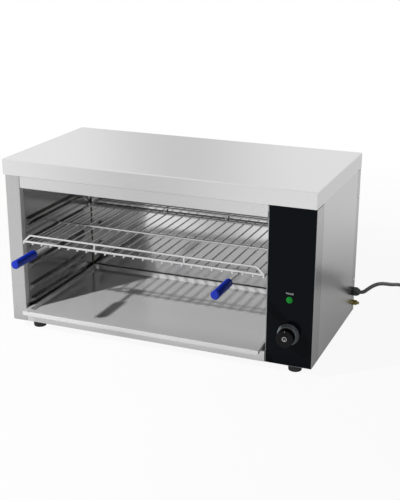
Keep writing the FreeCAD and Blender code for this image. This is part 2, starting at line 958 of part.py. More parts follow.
def make_gland():
    """The cable gland and the bonding stud, both through the right side panel."""
    bore = cord_radius + cord_fit
    centre = V(right_x, gland_y, gland_height)
    inside = right_x - sheet
    flange = hexagon(gland_flange_radius, gland_flange_thickness, centre, AXES["x"])
    thread = bar(
        "x", (inside - gland_thread_length, right_x), (gland_y, gland_height), gland_thread_radius
    )
    cable_bore = bar("x", (inside - gland_thread_length - overrun, right_x + gland_reach + overrun),
                     (gland_y, gland_height), bore)
    nut_start = right_x + gland_flange_thickness
    nut_length = gland_reach - gland_flange_thickness
    nut_blank = hexagon(gland_flange_radius, nut_length, V(nut_start, gland_y, gland_height), AXES["x"])
    dome_line = [
        (0, 0),
        (gland_flange_radius - gland_nut_chamfer, 0),
        (gland_flange_radius, gland_nut_chamfer),
        (gland_flange_radius, nut_length - gland_dome_length - gland_nut_chamfer),
        (gland_flange_radius - gland_nut_chamfer, nut_length - gland_dome_length),
        (gland_dome_radius, nut_length),
        (0, nut_length),
    ]
    nut_start_point = V(nut_start, gland_y, gland_height)
    dome = turned(dome_line, [0, 0, 0, 0, 0, gland_nut_chamfer, 0], nut_start_point, AXES["x"])
    lock_start = V(inside - locknut_thickness, gland_y, gland_height)
    locknut = hexagon(gland_flange_radius, locknut_thickness, lock_start, AXES["x"])
    thread_bore = bar("x", around(inside, 2 * gland_thread_length), (gland_y, gland_height),
                      gland_thread_radius + screw_fit)
    stud_place = (stud_y, stud_height)
    nuts = []
    washer_out = bar("x", (right_x, right_x + stud_washer_thickness), stud_place, stud_washer_radius)
    washer_in = bar("x", (inside - stud_washer_thickness, inside), stud_place, stud_washer_radius)
    nuts.append(washer_out)
    nuts.append(washer_in)
    first = right_x + stud_washer_thickness
    for start in (first, inside - stud_washer_thickness - stud_nut_thickness):
        nuts.append(hexagon(stud_nut_radius, stud_nut_thickness, V(start, *stud_place), AXES["x"]))
    second = first + stud_nut_thickness
    thin_nut = hexagon(stud_nut_radius, stud_nut_thickness / 2, V(second, *stud_place), AXES["x"])
    nuts.append(thin_nut)
    stud_ends = (inside - stud_inside, right_x + stud_reach)
    stud_length = 2 * (stud_reach + stud_inside)
    stud_bore = bar("x", around(right_x, stud_length), stud_place, stud_radius + screw_fit)
    return {
        "cable_gland_body": joined([flange, thread]).cut(cable_bore),
        "cable_gland_nut": nut_blank.common(dome).cut(cable_bore),
        "cable_gland_locknut": locknut.cut(thread_bore),
        "bonding_stud": bar("x", stud_ends, stud_place, stud_radius),
        "bonding_nuts": group([nut.cut(stud_bore) for nut in nuts]),
    }


def make_wiring():
    """The terminal block behind the gland, and the leads from it to what it feeds."""
    x = (right_x - sheet - block_gap_to_panel - block_length, right_x - sheet - block_gap_to_panel)
    back = rear_y - block_back_inset
    y = (back - block_depth, back)
    top = pan_top + block_height
    body = block(x, y, (pan_top, top))
    pitch = block_length / (block_well_count + 1)
    posts = [x[0] + pitch * (well + 1) for well in range(block_well_count)]
    wells = [
        bar("z", (top - block_well_depth, top + overrun), (post, (y[0] + y[1]) / 2), block_well_radius)
        for post in posts
    ]
    leads = []
    sheath_end = right_x - sheet - gland_thread_length - wire_bend
    cord_end = right_x + gland_reach
    leads.append(bar("x", (sheath_end, cord_end), (gland_y, gland_height), cord_radius))
    middle_z = pan_top + block_height / 2
    for index, post in enumerate(posts):
        level = gland_height + (index - 1) * wire_radius * 2
        leads.append(
            tube(
                [
                    (sheath_end - wire_end_gap, gland_y, level),
                    (post, gland_y, level),
                    (post, gland_y, middle_z),
                    (post, back + wire_end_gap, middle_z),
                ],
                wire_radius,
                wire_bend,
            )
        )
    front = y[0] - wire_end_gap
    thermostat_back = bracket_back + thermostat_depth + wire_end_gap
    lamp_back = bracket_back + lamp_body_length + lamp_tab_length + wire_end_gap
    for side in (-1, 1):
        shift = side * wire_spacing
        leads.append(
            tube(
                [
                    (posts[1] + shift, front, middle_z),
                    (posts[1] + shift, (front + thermostat_back) / 2, middle_z),
                    (control_x + shift, (front + thermostat_back) / 2 - block_length, knob_height),
                    (control_x + shift, thermostat_back, knob_height),
                ],
                wire_radius,
                wire_bend,
            )
        )
        lamp_x = control_x + side * lamp_body_radius / 2
        post = posts[0] if side < 0 else posts[2]
        leads.append(
            tube(
                [
                    (lamp_x, lamp_back, lamp_height),
                    (lamp_x, lamp_back + block_length, lamp_height),
                    (post, front - block_length, middle_z),
                    (post, front, middle_z),
                ],
                wire_radius,
                wire_bend,
            )
        )
    pin_end = cavity_right + liner_sheet + element_tail + terminal_length + stud_wire_length + wire_end_gap
    trunk_x = right_x - sheet - overrun - wire_radius
    for index, (row_front, row_back) in enumerate(element_rows()):
        for leg in (row_front, row_back):
            leads.append(
                tube(
                    [
                        (pin_end, leg, element_height),
                        (trunk_x, leg, element_height),
                        (trunk_x, leg, element_height - block_length),
                    ],
                    wire_radius,
                    wire_bend,
                )
            )
    trunk_z = element_height - block_length - wire_radius
    rows = element_rows()
    trunk = tube(
        [
            (trunk_x, rows[0][0] - wire_radius, trunk_z - wire_radius),
            (trunk_x, rows[-1][1] + wire_bend, trunk_z - wire_radius),
            (trunk_x, rows[-1][1] + wire_bend, top + 2 * wire_bend),
            (posts[2], rows[-1][1] + wire_bend, top + 2 * wire_bend),
            (posts[2], rows[-1][1] + wire_bend, top + wire_end_gap),
        ],
        2 * wire_radius,
        wire_bend,
    )
    leads.append(trunk)
    return {"terminal_block": without(body, wells), "wiring_harness": group(leads)}


def make_rack():
    """The wire rack with its raised rails, and the two handles at its front."""
    left, right = cavity_left + rack_side_gap, cavity_right - rack_side_gap
    rise = rib_upper_slope
    slope = math.hypot(rib_depth, rise)
    side_wire = rack_side_gap + long_wire_radius
    rest = rib_crest / 2 + rise + ((long_wire_radius + rest_gap) * slope - rise * side_wire) / rib_depth
    long_z = rib_heights()[rib_count_over_rack] + rest
    cross_z = long_z + long_wire_radius + cross_wire_radius - weld_bite
    front = front_y + rack_front
    back = cavity_back - rack_rear_gap
    pitch = (right - left - 2 * long_wire_radius) / (long_wire_count - 1)
    first = left + long_wire_radius
    wires = [
        bar("y", (front - wire_nub, back + wire_nub), (first + pitch * index, long_z), long_wire_radius)
        for index in range(long_wire_count)
    ]
    for y in (front, (front + back) / 2, back):
        wires.append(bar("x", (left, right), (y, cross_z), cross_wire_radius))
    parts = {"rack_grid": joined(wires)}
    seat = cross_z + cross_wire_radius + weld_gap
    rail_z = cross_z + rail_rise
    below = block((left - overrun, right + overrun), (front - overrun, back + overrun), (0, seat))
    middle = (left + right) / 2
    for name, y, spacing in (
        ("rack_front_rail", front, front_post_spacing),
        ("rack_back_rail", back, back_post_spacing),
    ):
        ends = (left + rail_wire_radius, right - rail_wire_radius)
        line = [
            (ends[0] - rail_wire_radius / 2, y, cross_z),
            (ends[0] + rail_end_run, y, rail_z),
            (ends[1] - rail_end_run, y, rail_z),
            (ends[1] + rail_wire_radius / 2, y, cross_z),
        ]
        posts = [bar("z", (seat, rail_z), (x, y), post_wire_radius) for x in around(middle, spacing)]
        parts[name] = joined([tube(line, rail_wire_radius, rail_bend).cut(below)] + posts)
    rod_z = cross_z - cross_wire_radius - handle_rod_radius - weld_gap * 2
    hook_y = (front + cross_wire_radius + rest_gap, front + cross_wire_radius + rest_gap + hook_depth)
    tip = front_y - handle_reach
    rear = tip + grip_length
    for side, bay in (("left", bay_count_before_left_rod), ("right", bay_count_before_right_rod)):
        x = first + pitch * (bay + bay_middle_share)
        rod = bar("y", (rear - grip_bore_depth + rod_fit, hook_y[1]), (x, rod_z), handle_rod_radius)
        plate_low = long_z + long_wire_radius + weld_gap
        plate = block(
            around(x, pitch + 2 * hook_overlap), hook_y, (plate_low, plate_low + hook_thickness)
        )
        neck = block(around(x, 2 * hook_neck), hook_y, (rod_z, plate_low + hook_thickness / 2))
        parts[f"handle_rod_{side}"] = joined([rod, plate, neck])
        bore = handle_rod_radius + rod_fit
        profile = [
            (bore, 0),
            (grip_radius, 0),
            (grip_radius, grip_length),
            (0, grip_length),
            (0, grip_bore_depth),
            (bore, grip_bore_depth),
        ]
        radii = [0, grip_rear_radius - rod_fit, grip_front_radius, 0, 0, 0]
        parts[f"handle_grip_{side}"] = turned(profile, radii, V(x, rear, rod_z), -AXES["y"])
    return parts


def make_tray():
    """The drip tray: a shallow pan with sloping walls, a flat rim and a turned-down front lip."""
    left, right = cavity_left + tray_side_gap, cavity_right - tray_side_gap
    front, back = front_y - tray_reach, cavity_back - tray_rear_gap
    low = rail_top + rest_gap
    top = low + tray_depth
    mouth_x = (left + tray_side_rim, right - tray_side_rim)
    mouth_y = (front + tray_front_rim, back - tray_side_rim)

    def ring(inset, z, corner):
        xs = (mouth_x[0] + inset, mouth_x[1] - inset)
        ys = (mouth_y[0] + inset, mouth_y[1] - inset)
        points = [(xs[0], ys[0], z), (xs[1], ys[0], z), (xs[1], ys[1], z), (xs[0], ys[1], z)]
        return rounded_wire(points, [corner] * len(points), lambda p: p)

    outside = Part.makeLoft(
        [ring(tray_slope - sheet, low, tray_corner), ring(-sheet, top - sheet / 2, tray_corner)], True, True
    )
    inside = Part.makeLoft(
        [ring(tray_slope, low + sheet, tray_corner - sheet), ring(0, top + sheet, tray_corner - sheet)],
        True,
        True,
    )
    lip = folded(
        "x",
        [(mouth_y[0] + tray_corner, top), (front, top), (front, top - tray_lip)],
        sheet,
        bend,
        (left, right),
    )
    rear_edge = folded(
        "x",
        [(back, top - tray_edge), (back, top), (mouth_y[1] - tray_corner, top)],
        sheet,
        bend,
        (left, right),
    )
    left_edge = folded(
        "y",
        [(mouth_x[0] + tray_corner, top), (left, top), (left, top - tray_edge)],
        sheet,
        bend,
        (front, back),
    )
    right_edge = folded(
        "y",
        [(right, top - tray_edge), (right, top), (mouth_x[1] - tray_corner, top)],
        sheet,
        bend,
        (front, back),
    )
    return {"drip_tray": joined([outside, lip, rear_edge, left_edge, right_edge]).cut(inside)}


def route_radii(points):
    """The radius of the arc at each inner point of a free cord: as large as its two runs allow."""
    radii = [0]
    for before, corner, after in zip(points, points[1:], points[2:]):
        turn = (corner - before).getAngle(after - corner)
        shorter = min((corner - before).Length, (after - corner).Length)
        radii.append(arc_share * shorter / math.tan(turn / 2))
    return radii + [0]


def make_cord():
    """The free stretch of the power cord, from the gland down to the table and up to the coil."""
    points = [in_frame(point) for point in cord_route]
    points[0] = V(right_x + gland_reach, gland_y, gland_height)
    radii = route_radii(points)
    path = rounded_wire(points, radii, lambda p: p, closed=False)
    cord = swept(path, cord_radius)
    print("cord radii", [round(radius, 1) for radius in radii[1:-1]])
    print("cord length", round(path.Length, 1), "volume over section times length",
          round(cord.Volume / (math.pi * cord_radius ** 2 * path.Length), 4))
    return cord, points[-1]


def biarc(start, start_way, end, end_way):
    """Two arcs that join two points with the given directions."""
    span = end - start
    both = start_way + end_way
    fall = 2 * (1 - start_way.dot(end_way))
    push = span.dot(both)
    if fall < same_place:
        reach = span.dot(span) / (2 * push)
    else:
        reach = (math.sqrt(push ** 2 + fall * span.dot(span)) - push) / fall
    first, second = start + start_way * reach, end - end_way * reach
    joint = (first + second) * 0.5
    arcs = []
    for a, apex, b in ((start, first, joint), (joint, second, end)):
        chord = (b - a) * 0.5
        middle = a + chord
        turn = (apex - a).getAngle(b - apex)
        bulge = (apex - middle).normalize() * (chord.Length * math.tan(turn / 4))
        arcs.append(Part.Arc(a, middle + bulge, b).toShape())
    return arcs


def make_coil(entry):
    """The unseen length, wound in two layers that spiral in and out again, and its end into the plug."""
    pitch = 2 * cord_radius + turn_gap
    low = entry.z
    start = entry + V(2 * cord_radius, 0, 0)
    centre = V(start.x, start.y - turn_radius, 0)
    middle = turn_count_in * full_turn_degrees
    last = (turn_count_in + turn_count_out) * full_turn_degrees
    step = full_turn_degrees / stop_count_per_turn
    climb = (middle - step, middle + step)
    inner = turn_radius - pitch * turn_count_in

    def spot(angle):
        turns_share = angle / full_turn_degrees
        radius = inner + pitch * abs(turns_share - turn_count_in)
        done = min(max((angle - climb[0]) / (climb[1] - climb[0]), 0), 1)
        height = low + pitch * done ** 2 * (3 - 2 * done)
        a = math.radians(angle)
        return centre + V(radius * math.sin(a), radius * math.cos(a), height)

    def way(angle):
        if angle in (0, last):
            a = math.radians(angle)
            return V(math.cos(a), -math.sin(a), 0)
        tick = step * tick_share
        return (spot(angle + tick) - spot(angle - tick)).normalize()

    stops = [step * index for index in range(round(last / step) + 1)]
    edges = [Part.LineSegment(entry, start).toShape()]
    for before, after in zip(stops, stops[1:]):
        edges += biarc(spot(before), way(before), spot(after), way(after))
    leave = spot(last)
    lead = V(0, -1, 0)
    plug_back = V(leave.x + turn_gap, leave.y - tail_length, plug_cord_height)
    straight = plug_back - lead * 2 * cord_radius
    edges += biarc(leave, lead, straight, lead)
    edges.append(Part.LineSegment(straight, plug_back).toShape())
    path = Part.Wire(edges)
    coil = swept(path, cord_radius)
    samples = path.discretize(Distance=self_gap_step)
    apart = round(self_gap_diameter_count * 2 * cord_radius / self_gap_step)
    least = min(
        (samples[i] - samples[j]).Length
        for i in range(len(samples))
        for j in range(i + apart, len(samples))
    )
    print("coil length", round(path.Length, 1), "least gap to itself", round(least - 2 * cord_radius, 2))
    print("coil turns", turn_count_in + turn_count_out, "volume over section times length",
          round(coil.Volume / (math.pi * cord_radius ** 2 * path.Length), 4))
    outermost = turn_radius - pitch / 2 + cord_radius
    innermost = inner + pitch / stop_count_per_turn - cord_radius
    inner_wall = centre.y - outermost - tie_gap
    outer_wall = centre.y - math.sqrt(innermost ** 2 - (tie_width / 2) ** 2) + tie_gap
    heights = (low - cord_radius - tie_gap, low + pitch + cord_radius + tie_gap)
    hole = block(around(centre.x, 2 * tie_width), (inner_wall, outer_wall), heights)
    band = block(
        around(centre.x, tie_width),
        (inner_wall - tie_thickness, outer_wall + tie_thickness),
        (heights[0] - tie_thickness, heights[1] + tie_thickness),
    )
    corner = [e for e in band.Edges if abs(e.Vertexes[0].Point.x - e.Vertexes[1].Point.x) > tie_thickness]
    tie = band.makeFillet(tie_edge, corner).cut(hole)
    return {"power_cord_coil": coil, "cord_tie": tie}, plug_back


def make_plug(back):
    """The two-pin earthed mains plug at the end of the cord, lying beside the coil."""
    neck_end = plug_neck_length
    full = plug_neck_length + plug_body_length
    profile = [
        (0, 0),
        (plug_neck_radius, 0),
        (plug_shoulder_radius, neck_end - plug_edge),
        (plug_radius, neck_end),
        (plug_radius, full),
        (0, full),
    ]
    direction = -AXES["y"]
    body = turned(profile, [0, plug_edge / 2, plug_edge, plug_edge, plug_edge, 0], back, direction)
    face = back.y - full
    pins = []
    for side in (-1, 1):
        x = back.x + side * pin_spacing / 2
        tip = [(0, 0), (pin_radius, 0), (pin_radius, pin_length), (0, pin_length)]
        pins.append(turned(tip, [0, 0, pin_tip, 0], V(x, face, back.z), direction))
    clip_y = (face - rest_gap, face + earth_clip_length)
    clips = []
    recesses = []
    for side in (-1, 1):
        outer = back.z + side * (plug_radius - earth_clip_thickness)
        z = sorted((outer, outer - side * earth_clip_thickness))
        clips.append(block(around(back.x, earth_clip_width), (face, clip_y[1]), z))
        recess_z = sorted((outer - side * earth_clip_thickness, outer + side * overrun))
        recesses.append(block(around(back.x, earth_clip_width), clip_y, recess_z))
    return {"plug_body": without(body, recesses), "plug_pins": group(pins + clips)}


def build():
    """Every sub-part by its node's name."""
    parts = {}
    for maker in (
        make_lid,
        make_side_panels,
        make_back,
        make_base,
        make_front,
        make_liner,
        make_control_panel,
        make_thermostat,
        make_heating,
        make_gland,
        make_wiring,
        make_rack,
        make_tray,
    ):
        parts.update(maker())
    parts["power_cord"], entry = make_cord()
    coil_parts, plug_back = make_coil(entry)
    parts.update(coil_parts)
    parts.update(make_plug(plug_back))
    return parts


os.makedirs("parts", exist_ok=True)
for node, shape in build().items():
    shape.exportStep(f"parts/{node}.step")
    print(node, "solids", len(shape.Solids), "volume", round(shape.Volume), "valid", shape.isValid())
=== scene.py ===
"""Looks of an electric cheese melter: steel casing, wire rack, drip tray, control column and mains cord.

Everything is in metres, in the frame of the solids: +X to the right along the front, +Y to the back, +Z up.
"""

import logging
import math
from dataclasses import dataclass, field, replace
from enum import Enum

import bmesh
import bpy
from mathutils import Matrix, Vector


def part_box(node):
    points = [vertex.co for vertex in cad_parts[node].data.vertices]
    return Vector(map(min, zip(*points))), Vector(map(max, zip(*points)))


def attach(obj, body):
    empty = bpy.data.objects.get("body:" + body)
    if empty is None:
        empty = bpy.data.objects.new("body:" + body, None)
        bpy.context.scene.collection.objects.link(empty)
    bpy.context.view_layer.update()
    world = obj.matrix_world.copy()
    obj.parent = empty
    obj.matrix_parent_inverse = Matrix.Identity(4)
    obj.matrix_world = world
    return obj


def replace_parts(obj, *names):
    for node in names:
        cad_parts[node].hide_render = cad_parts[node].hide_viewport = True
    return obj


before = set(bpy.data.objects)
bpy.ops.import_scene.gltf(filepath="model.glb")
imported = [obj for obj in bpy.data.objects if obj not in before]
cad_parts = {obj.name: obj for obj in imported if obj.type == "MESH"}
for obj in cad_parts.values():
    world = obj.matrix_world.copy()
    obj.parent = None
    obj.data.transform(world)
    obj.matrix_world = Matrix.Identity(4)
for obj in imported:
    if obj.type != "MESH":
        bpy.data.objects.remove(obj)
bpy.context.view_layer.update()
log = logging.getLogger("cheese_melter")

Colour = tuple[float, float, float]
Point = tuple[float, float, float]
Pair = tuple[float, float]

WHITE = (1.0, 1.0, 1.0)
BLACK = (0.0, 0.0, 0.0)
UNSTRETCHED = (1.0, 1.0, 1.0)
# How much lighter and darker a tone can get at a full swing of its pattern
LIGHTEST = 1.5
DARKEST = 0.5
# Added to a divisor so that it is never 0
LEAST_DIVISOR = 0.05


class Signal:
    """A shader socket that Python's operators can be used on."""

    def __init__(self, net: "Net", socket: bpy.types.NodeSocket | None) -> None:
        """Keep the socket and the net it belongs to."""
        self.net = net
        self.socket = socket

    def _math(self, operation: str, *values: "Signal | float") -> "Signal":
        """Add one Math node.

        Args:
            operation: the Math node's operation.
            values: its inputs, in order.

        Returns:
            The node's result.
        """
        return self.net.node("ShaderNodeMath", {"operation": operation}, dict(enumerate(values)))

    def __add__(self, other: "Signal | float") -> "Signal":
        """Self plus other."""
        return self._math("ADD", self, other)

    def __radd__(self, other: float) -> "Signal":
        """Other plus self."""
        return self._math("ADD", other, self)

    def __sub__(self, other: "Signal | float") -> "Signal":
        """Self less other."""
        return self._math("SUBTRACT", self, other)

    def __rsub__(self, other: float) -> "Signal":
        """Other less self."""
        return self._math("SUBTRACT", other, self)

    def __mul__(self, other: "Signal | float") -> "Signal":
        """Self times other."""
        return self._math("MULTIPLY", self, other)

    def __rmul__(self, other: float) -> "Signal":
        """Other times self."""
        return self._math("MULTIPLY", other, self)

    def __truediv__(self, other: "Signal | float") -> "Signal":
        """Self over other."""
        return self._math("DIVIDE", self, other)

    def __abs__(self) -> "Signal":
        """Self without its sign."""
        return self._math("ABSOLUTE", self)

    def ramp(self, low: float, high: float) -> "Signal":
        """A smooth step.

        Args:
            low: where the result is 0.
            high: where the result is 1.

        Returns:
            The step, held between 0 and 1.
        """
        sockets = {"Value": self, "From Min": low, "From Max": high}
        return self.net.node("ShaderNodeMapRange", {"interpolation_type": "SMOOTHSTEP"}, sockets)

    def axis(self, name: str) -> "Signal":
        """One of a vector's parts, named X, Y or Z."""
        return self.net.node("ShaderNodeSeparateXYZ", {}, {"Vector": self}, name)


class Net:
    """The nodes of one material or world."""

    def __init__(self, owner: bpy.types.Material | bpy.types.World) -> None:
        """Clear the owner's nodes.

        Args:
            owner: the material or world that the nodes are for.
        """
        self.owner = owner
        owner.use_nodes = True
        self.tree = owner.node_tree
        self.tree.nodes.clear()

    def node(
        self, kind: str, settings: dict[str, object], sockets: dict[str | int, object], output: str | int = 0
    ) -> Signal:
        """Add a node.

        Args:
            kind: the node's type.
            settings: its own settings, which are set first.
            sockets: a value or a signal for each input, by name or number.
            output: the name or number of the wanted output.

        Returns:
            That output, or an empty signal where the node has none.
        """
        made = self.tree.nodes.new(kind)
        for key, value in settings.items():
            setattr(made, key, value)
        for key, value in sockets.items():
            if isinstance(value, Signal):
                self.tree.links.new(value.socket, made.inputs[key])
            else:
                made.inputs[key].default_value = value
        return Signal(self, made.outputs[output] if len(made.outputs) else None)

    def place(self, stretch: Point = UNSTRETCHED) -> Signal:
        """Object coordinates.

        Args:
            stretch: what X, Y and Z are multiplied by.

        Returns:
            The coordinates.
        """
        spot = self.node("ShaderNodeTexCoord", {}, {}, "Object")
        if stretch == UNSTRETCHED:
            return spot
        return self.node("ShaderNodeVectorMath", {"operation": "MULTIPLY"}, {0: spot, 1: stretch})

    def noise(self, scale: float, detail: float, stretch: Point = UNSTRETCHED) -> Signal:
        """Noise about 0, from about -0.5 to 0.5.

        Args:
            scale: waves per metre.
            detail: octaves.
            stretch: a further scale for X, Y and Z.

        Returns:
            The noise.
        """
        sockets = {"Vector": self.place(stretch), "Scale": scale, "Detail": detail}
        return self.node("ShaderNodeTexNoise", {}, sockets) - 0.5

    def blend(self, share: "Signal | float", first: "Signal | Colour", second: "Signal | Colour") -> Signal:
        """A mix of two colours.

        Args:
            share: how much there is of the second colour.
            first: a colour.
            second: a colour.

        Returns:
            The mixed colour.
        """
        a, b = (value if isinstance(value, Signal) else (*value, 1.0) for value in (first, second))
        return self.node("ShaderNodeMix", {"data_type": "RGBA"}, {0: share, 6: a, 7: b}, 2)

    def shade(self, colour: Colour, amount: Signal) -> Signal:
        """A colour that varies in lightness.

        Args:
            colour: the colour in the middle.
            amount: how much lighter it is, or below 0 darker, up to 0.5 each way.

        Returns:
            The varied colour.
        """
        light = tuple(min(1.0, part * LIGHTEST) for part in colour)
        dark = tuple(part * DARKEST for part in colour)
        return self.blend(amount + 0.5, dark, light)

    def bump(self, height: Signal, depth: float) -> Signal:
        """A bumped normal.

        Args:
            height: the height signal.
            depth: metres that a height of 1 stands for.

        Returns:
            The normal.
        """
        return self.node("ShaderNodeBump", {}, {"Distance": depth, "Height": height})

    def surface(self, **sockets: object) -> bpy.types.Material:
        """End the net in one Principled shader.

        Args:
            sockets: its inputs, with underscores for spaces.

        Returns:
            The finished material.
        """
        named = {key.replace("_", " "): value for key, value in sockets.items()}
        shader = self.node("ShaderNodeBsdfPrincipled", {}, named)
        return self.finish(shader)

    def finish(self, shader: Signal) -> bpy.types.Material | bpy.types.World:
        """Send a shader to a new output.

        Args:
            shader: what the material or world looks like.

        Returns:
            The material or world.
        """
        kind = "World" if isinstance(self.owner, bpy.types.World) else "Material"
        self.node(f"ShaderNodeOutput{kind}", {}, {"Surface": shader})
        return self.owner

    def path(self, kind: str) -> Signal:
        """1 for rays of a kind, such as Is Camera Ray, and 0 for others."""
        return self.node("ShaderNodeLightPath", {}, {}, kind)

    def facing(self, axis: str, reach: Pair) -> Signal:
        """Where a surface looks along an axis.

        Args:
            axis: the axis, X, Y or Z.
            reach: the parts of its normal along the axis where the result is 0 and 1.

        Returns:
            1 where it looks along the axis, and 0 where it is turned away.
        """
        return abs(self.node("ShaderNodeNewGeometry", {}, {}, "Normal").axis(axis)).ramp(*reach)

    def mirrored(self) -> Signal:
        """1 for rays that only mirrors and glass have sent on, and 0 for others."""
        scattered = self.path("Diffuse Depth").ramp(0.0, 1.0)
        return (self.path("Is Glossy Ray") + self.path("Is Transmission Ray")) * (1 - scattered)

    def mixed(self, share: Signal, first: Signal, second: Signal) -> Signal:
        """A mix of two shaders, by the second one's share."""
        return self.node("ShaderNodeMixShader", {}, {0: share, 1: first, 2: second})


class Grain(Enum):
    """Which way a sheet was brushed, as the stretch of its streaks along X, Y and Z."""

    ACROSS = (0.012, 1.0, 1.0)
    DEPTH = (1.0, 0.012, 1.0)
    UPRIGHT = (1.0, 1.0, 0.012)
    WRAPPED = (0.012, 1.0, 0.012)


@dataclass(frozen=True)
class BrushedSteel:
    """Stainless sheet with fine streaks, faint cloudy wiping marks and a soft gloss."""

    tone: Colour
    grain: Grain
    roughness: float = 0.28
    metallic: float = 0.85
    streak_scale: float = 700.0
    streak_depth: float = 0.00002
    streak_share: float = 2.0
    cloud_scale: float = 6.0
    contrast: float = 0.07
    gloss_share: float = 1.5
    front_reach: Pair = (0.4, 0.8)

    def make(self, name: str) -> bpy.types.Material:
        """Build the material.

        Args:
            name: its name.

        Returns:
            The material.
        """
        net = Net(bpy.data.materials.new(name))
        streaks = net.noise(self.streak_scale, detail=2.0, stretch=self.grain.value)
        if self.grain is Grain.WRAPPED:
            front = net.facing("Y", self.front_reach)
            across = net.noise(self.streak_scale, detail=2.0, stretch=Grain.ACROSS.value)
            streaks = streaks * (1 - front) + across * front
        clouds = net.noise(self.cloud_scale, detail=4.0)
        tint = net.shade(self.tone, streaks * self.contrast * self.streak_share + clouds * self.contrast)
        gloss = (streaks + clouds) * self.contrast * self.gloss_share + self.roughness
        tint, height = self._trim(net, tint, streaks)
        normal = net.bump(height, self.streak_depth)
        return net.surface(Base_Color=tint, Metallic=self.metallic, Roughness=gloss, Normal=normal)

    def _trim(self, net: Net, tint: Signal, height: Signal) -> tuple[Signal, Signal]:
        """The sheet's colour and height as they are, for a sheet without strips."""
        return tint, height


@dataclass(frozen=True)
class EdgedSteel(BrushedSteel):
    """Brushed side sheet with a darker, line-bordered strip along its front edge and its rear edge."""

    # The two borders' places in depth, the lid's lower edge, and how far below it the strips fade out
    front: float = 0.0
    rear: float = 0.0
    top: float = 0.0
    top_gap: Pair = (0.0015, 0.0005)
    strip_tone: float = 0.80
    line_tone: float = 0.45
    front_blur: float = 0.0012
    rear_blur: float = 0.0008
    line_width: Pair = (0.0010, 0.0003)
    line_height: float = 8.0
    side_reach: Pair = (0.5, 0.9)

    def _trim(self, net: Net, tint: Signal, height: Signal) -> tuple[Signal, Signal]:
        """Darken the strips and score their borders, on the outside and below the lid's edge.

        Args:
            net: the net they are for.
            tint: the sheet's colour.
            height: the sheet's height signal.

        Returns:
            The new colour and height.
        """
        depth = net.place().axis("Y")
        side = net.facing("X", self.side_reach)
        below = 1 - net.place().axis("Z").ramp(*(self.top - gap for gap in self.top_gap))
        ahead = 1 - depth.ramp(self.front - self.front_blur, self.front + self.front_blur)
        behind = depth.ramp(self.rear - self.rear_blur, self.rear + self.rear_blur)
        lines = abs(depth - self.front).ramp(*self.line_width) + abs(depth - self.rear).ramp(*self.line_width)
        line = lines * below * side
        dark = tuple(part * self.strip_tone for part in self.tone)
        scored = tuple(part * self.line_tone for part in self.tone)
        edged = net.blend((ahead + behind) * side * below, tint, dark)
        return net.blend(line, edged, scored), height - line * self.line_height


@dataclass(frozen=True)
class PlatedMetal:
    """Bright plated or bare metal with faint pitting."""

    tone: Colour
    roughness: float = 0.16
    metallic: float = 1.0
    pit_scale: float = 500.0
    pit_depth: float = 0.00002
    pits_per_cloud: float = 12.0
    pit_tone: float = 0.08
    cloud_tone: float = 0.10
    pit_gloss: float = 0.10
    cloud_gloss: float = 0.08

    def make(self, name: str) -> bpy.types.Material:
        """Build the material.

        Args:
            name: its name.

        Returns:
            The material.
        """
        net = Net(bpy.data.materials.new(name))
        pits = net.noise(self.pit_scale, detail=3.0)
        clouds = net.noise(self.pit_scale / self.pits_per_cloud, detail=2.0)
        tint = net.shade(self.tone, pits * self.pit_tone + clouds * self.cloud_tone)
        gloss = pits * self.pit_gloss + clouds * self.cloud_gloss + self.roughness
        normal = net.bump(pits, self.pit_depth)
        return net.surface(Base_Color=tint, Metallic=self.metallic, Roughness=gloss, Normal=normal)


@dataclass(frozen=True)
class HeatedSheath:
    """A heating element's sheath, dulled and tinted brown in patches by its own heat."""

    tone: Colour = (0.16, 0.15, 0.145)
    tinted: Colour = (0.20, 0.13, 0.08)
    roughness: float = 0.45
    metallic: float = 0.7
    patch_scale: float = 14.0
    patch_stretch: Point = (1.0, 0.4, 1.0)
    patch_reach: Pair = (-0.08, 0.16)
    grit_scale: float = 1600.0
    grit_depth: float = 0.00004
    grit_share: float = 0.2

    def make(self, name: str) -> bpy.types.Material:
        """Build the material.

        Args:
            name: its name.

        Returns:
            The material.
        """
        net = Net(bpy.data.materials.new(name))
        patches = net.noise(self.patch_scale, detail=4.0, stretch=self.patch_stretch).ramp(*self.patch_reach)
        grit = net.noise(self.grit_scale, detail=2.0)
        tint = net.blend(patches, self.tone, self.tinted)
        gloss = grit * self.grit_share + self.roughness
        normal = net.bump(grit, self.grit_depth)
        return net.surface(Base_Color=tint, Metallic=self.metallic, Roughness=gloss, Normal=normal)


@dataclass(frozen=True)
class MouldedPlastic:
    """Moulded plastic with a very fine skin texture and a little uneven gloss."""

    tone: Colour
    roughness: float = 0.35
    specular: float = 0.5
    skin_scale: float = 1800.0
    skin_depth: float = 0.00003
    cloud_scale: float = 30.0
    cloud_tone: float = 0.12
    skin_tone: float = 0.06
    cloud_gloss: float = 0.10
    skin_gloss: float = 0.08

    def make(self, name: str) -> bpy.types.Material:
        """Build the material.

        Args:
            name: its name.

        Returns:
            The material.
        """
        net = Net(bpy.data.materials.new(name))
        skin = net.noise(self.skin_scale, detail=2.0)
        clouds = net.noise(self.cloud_scale, detail=3.0)
        tint = net.shade(self.tone, clouds * self.cloud_tone + skin * self.skin_tone)
        gloss = clouds * self.cloud_gloss + skin * self.skin_gloss + self.roughness
        normal = net.bump(skin, self.skin_depth)
        return net.surface(Base_Color=tint, Roughness=gloss, Normal=normal, Specular_IOR_Level=self.specular)


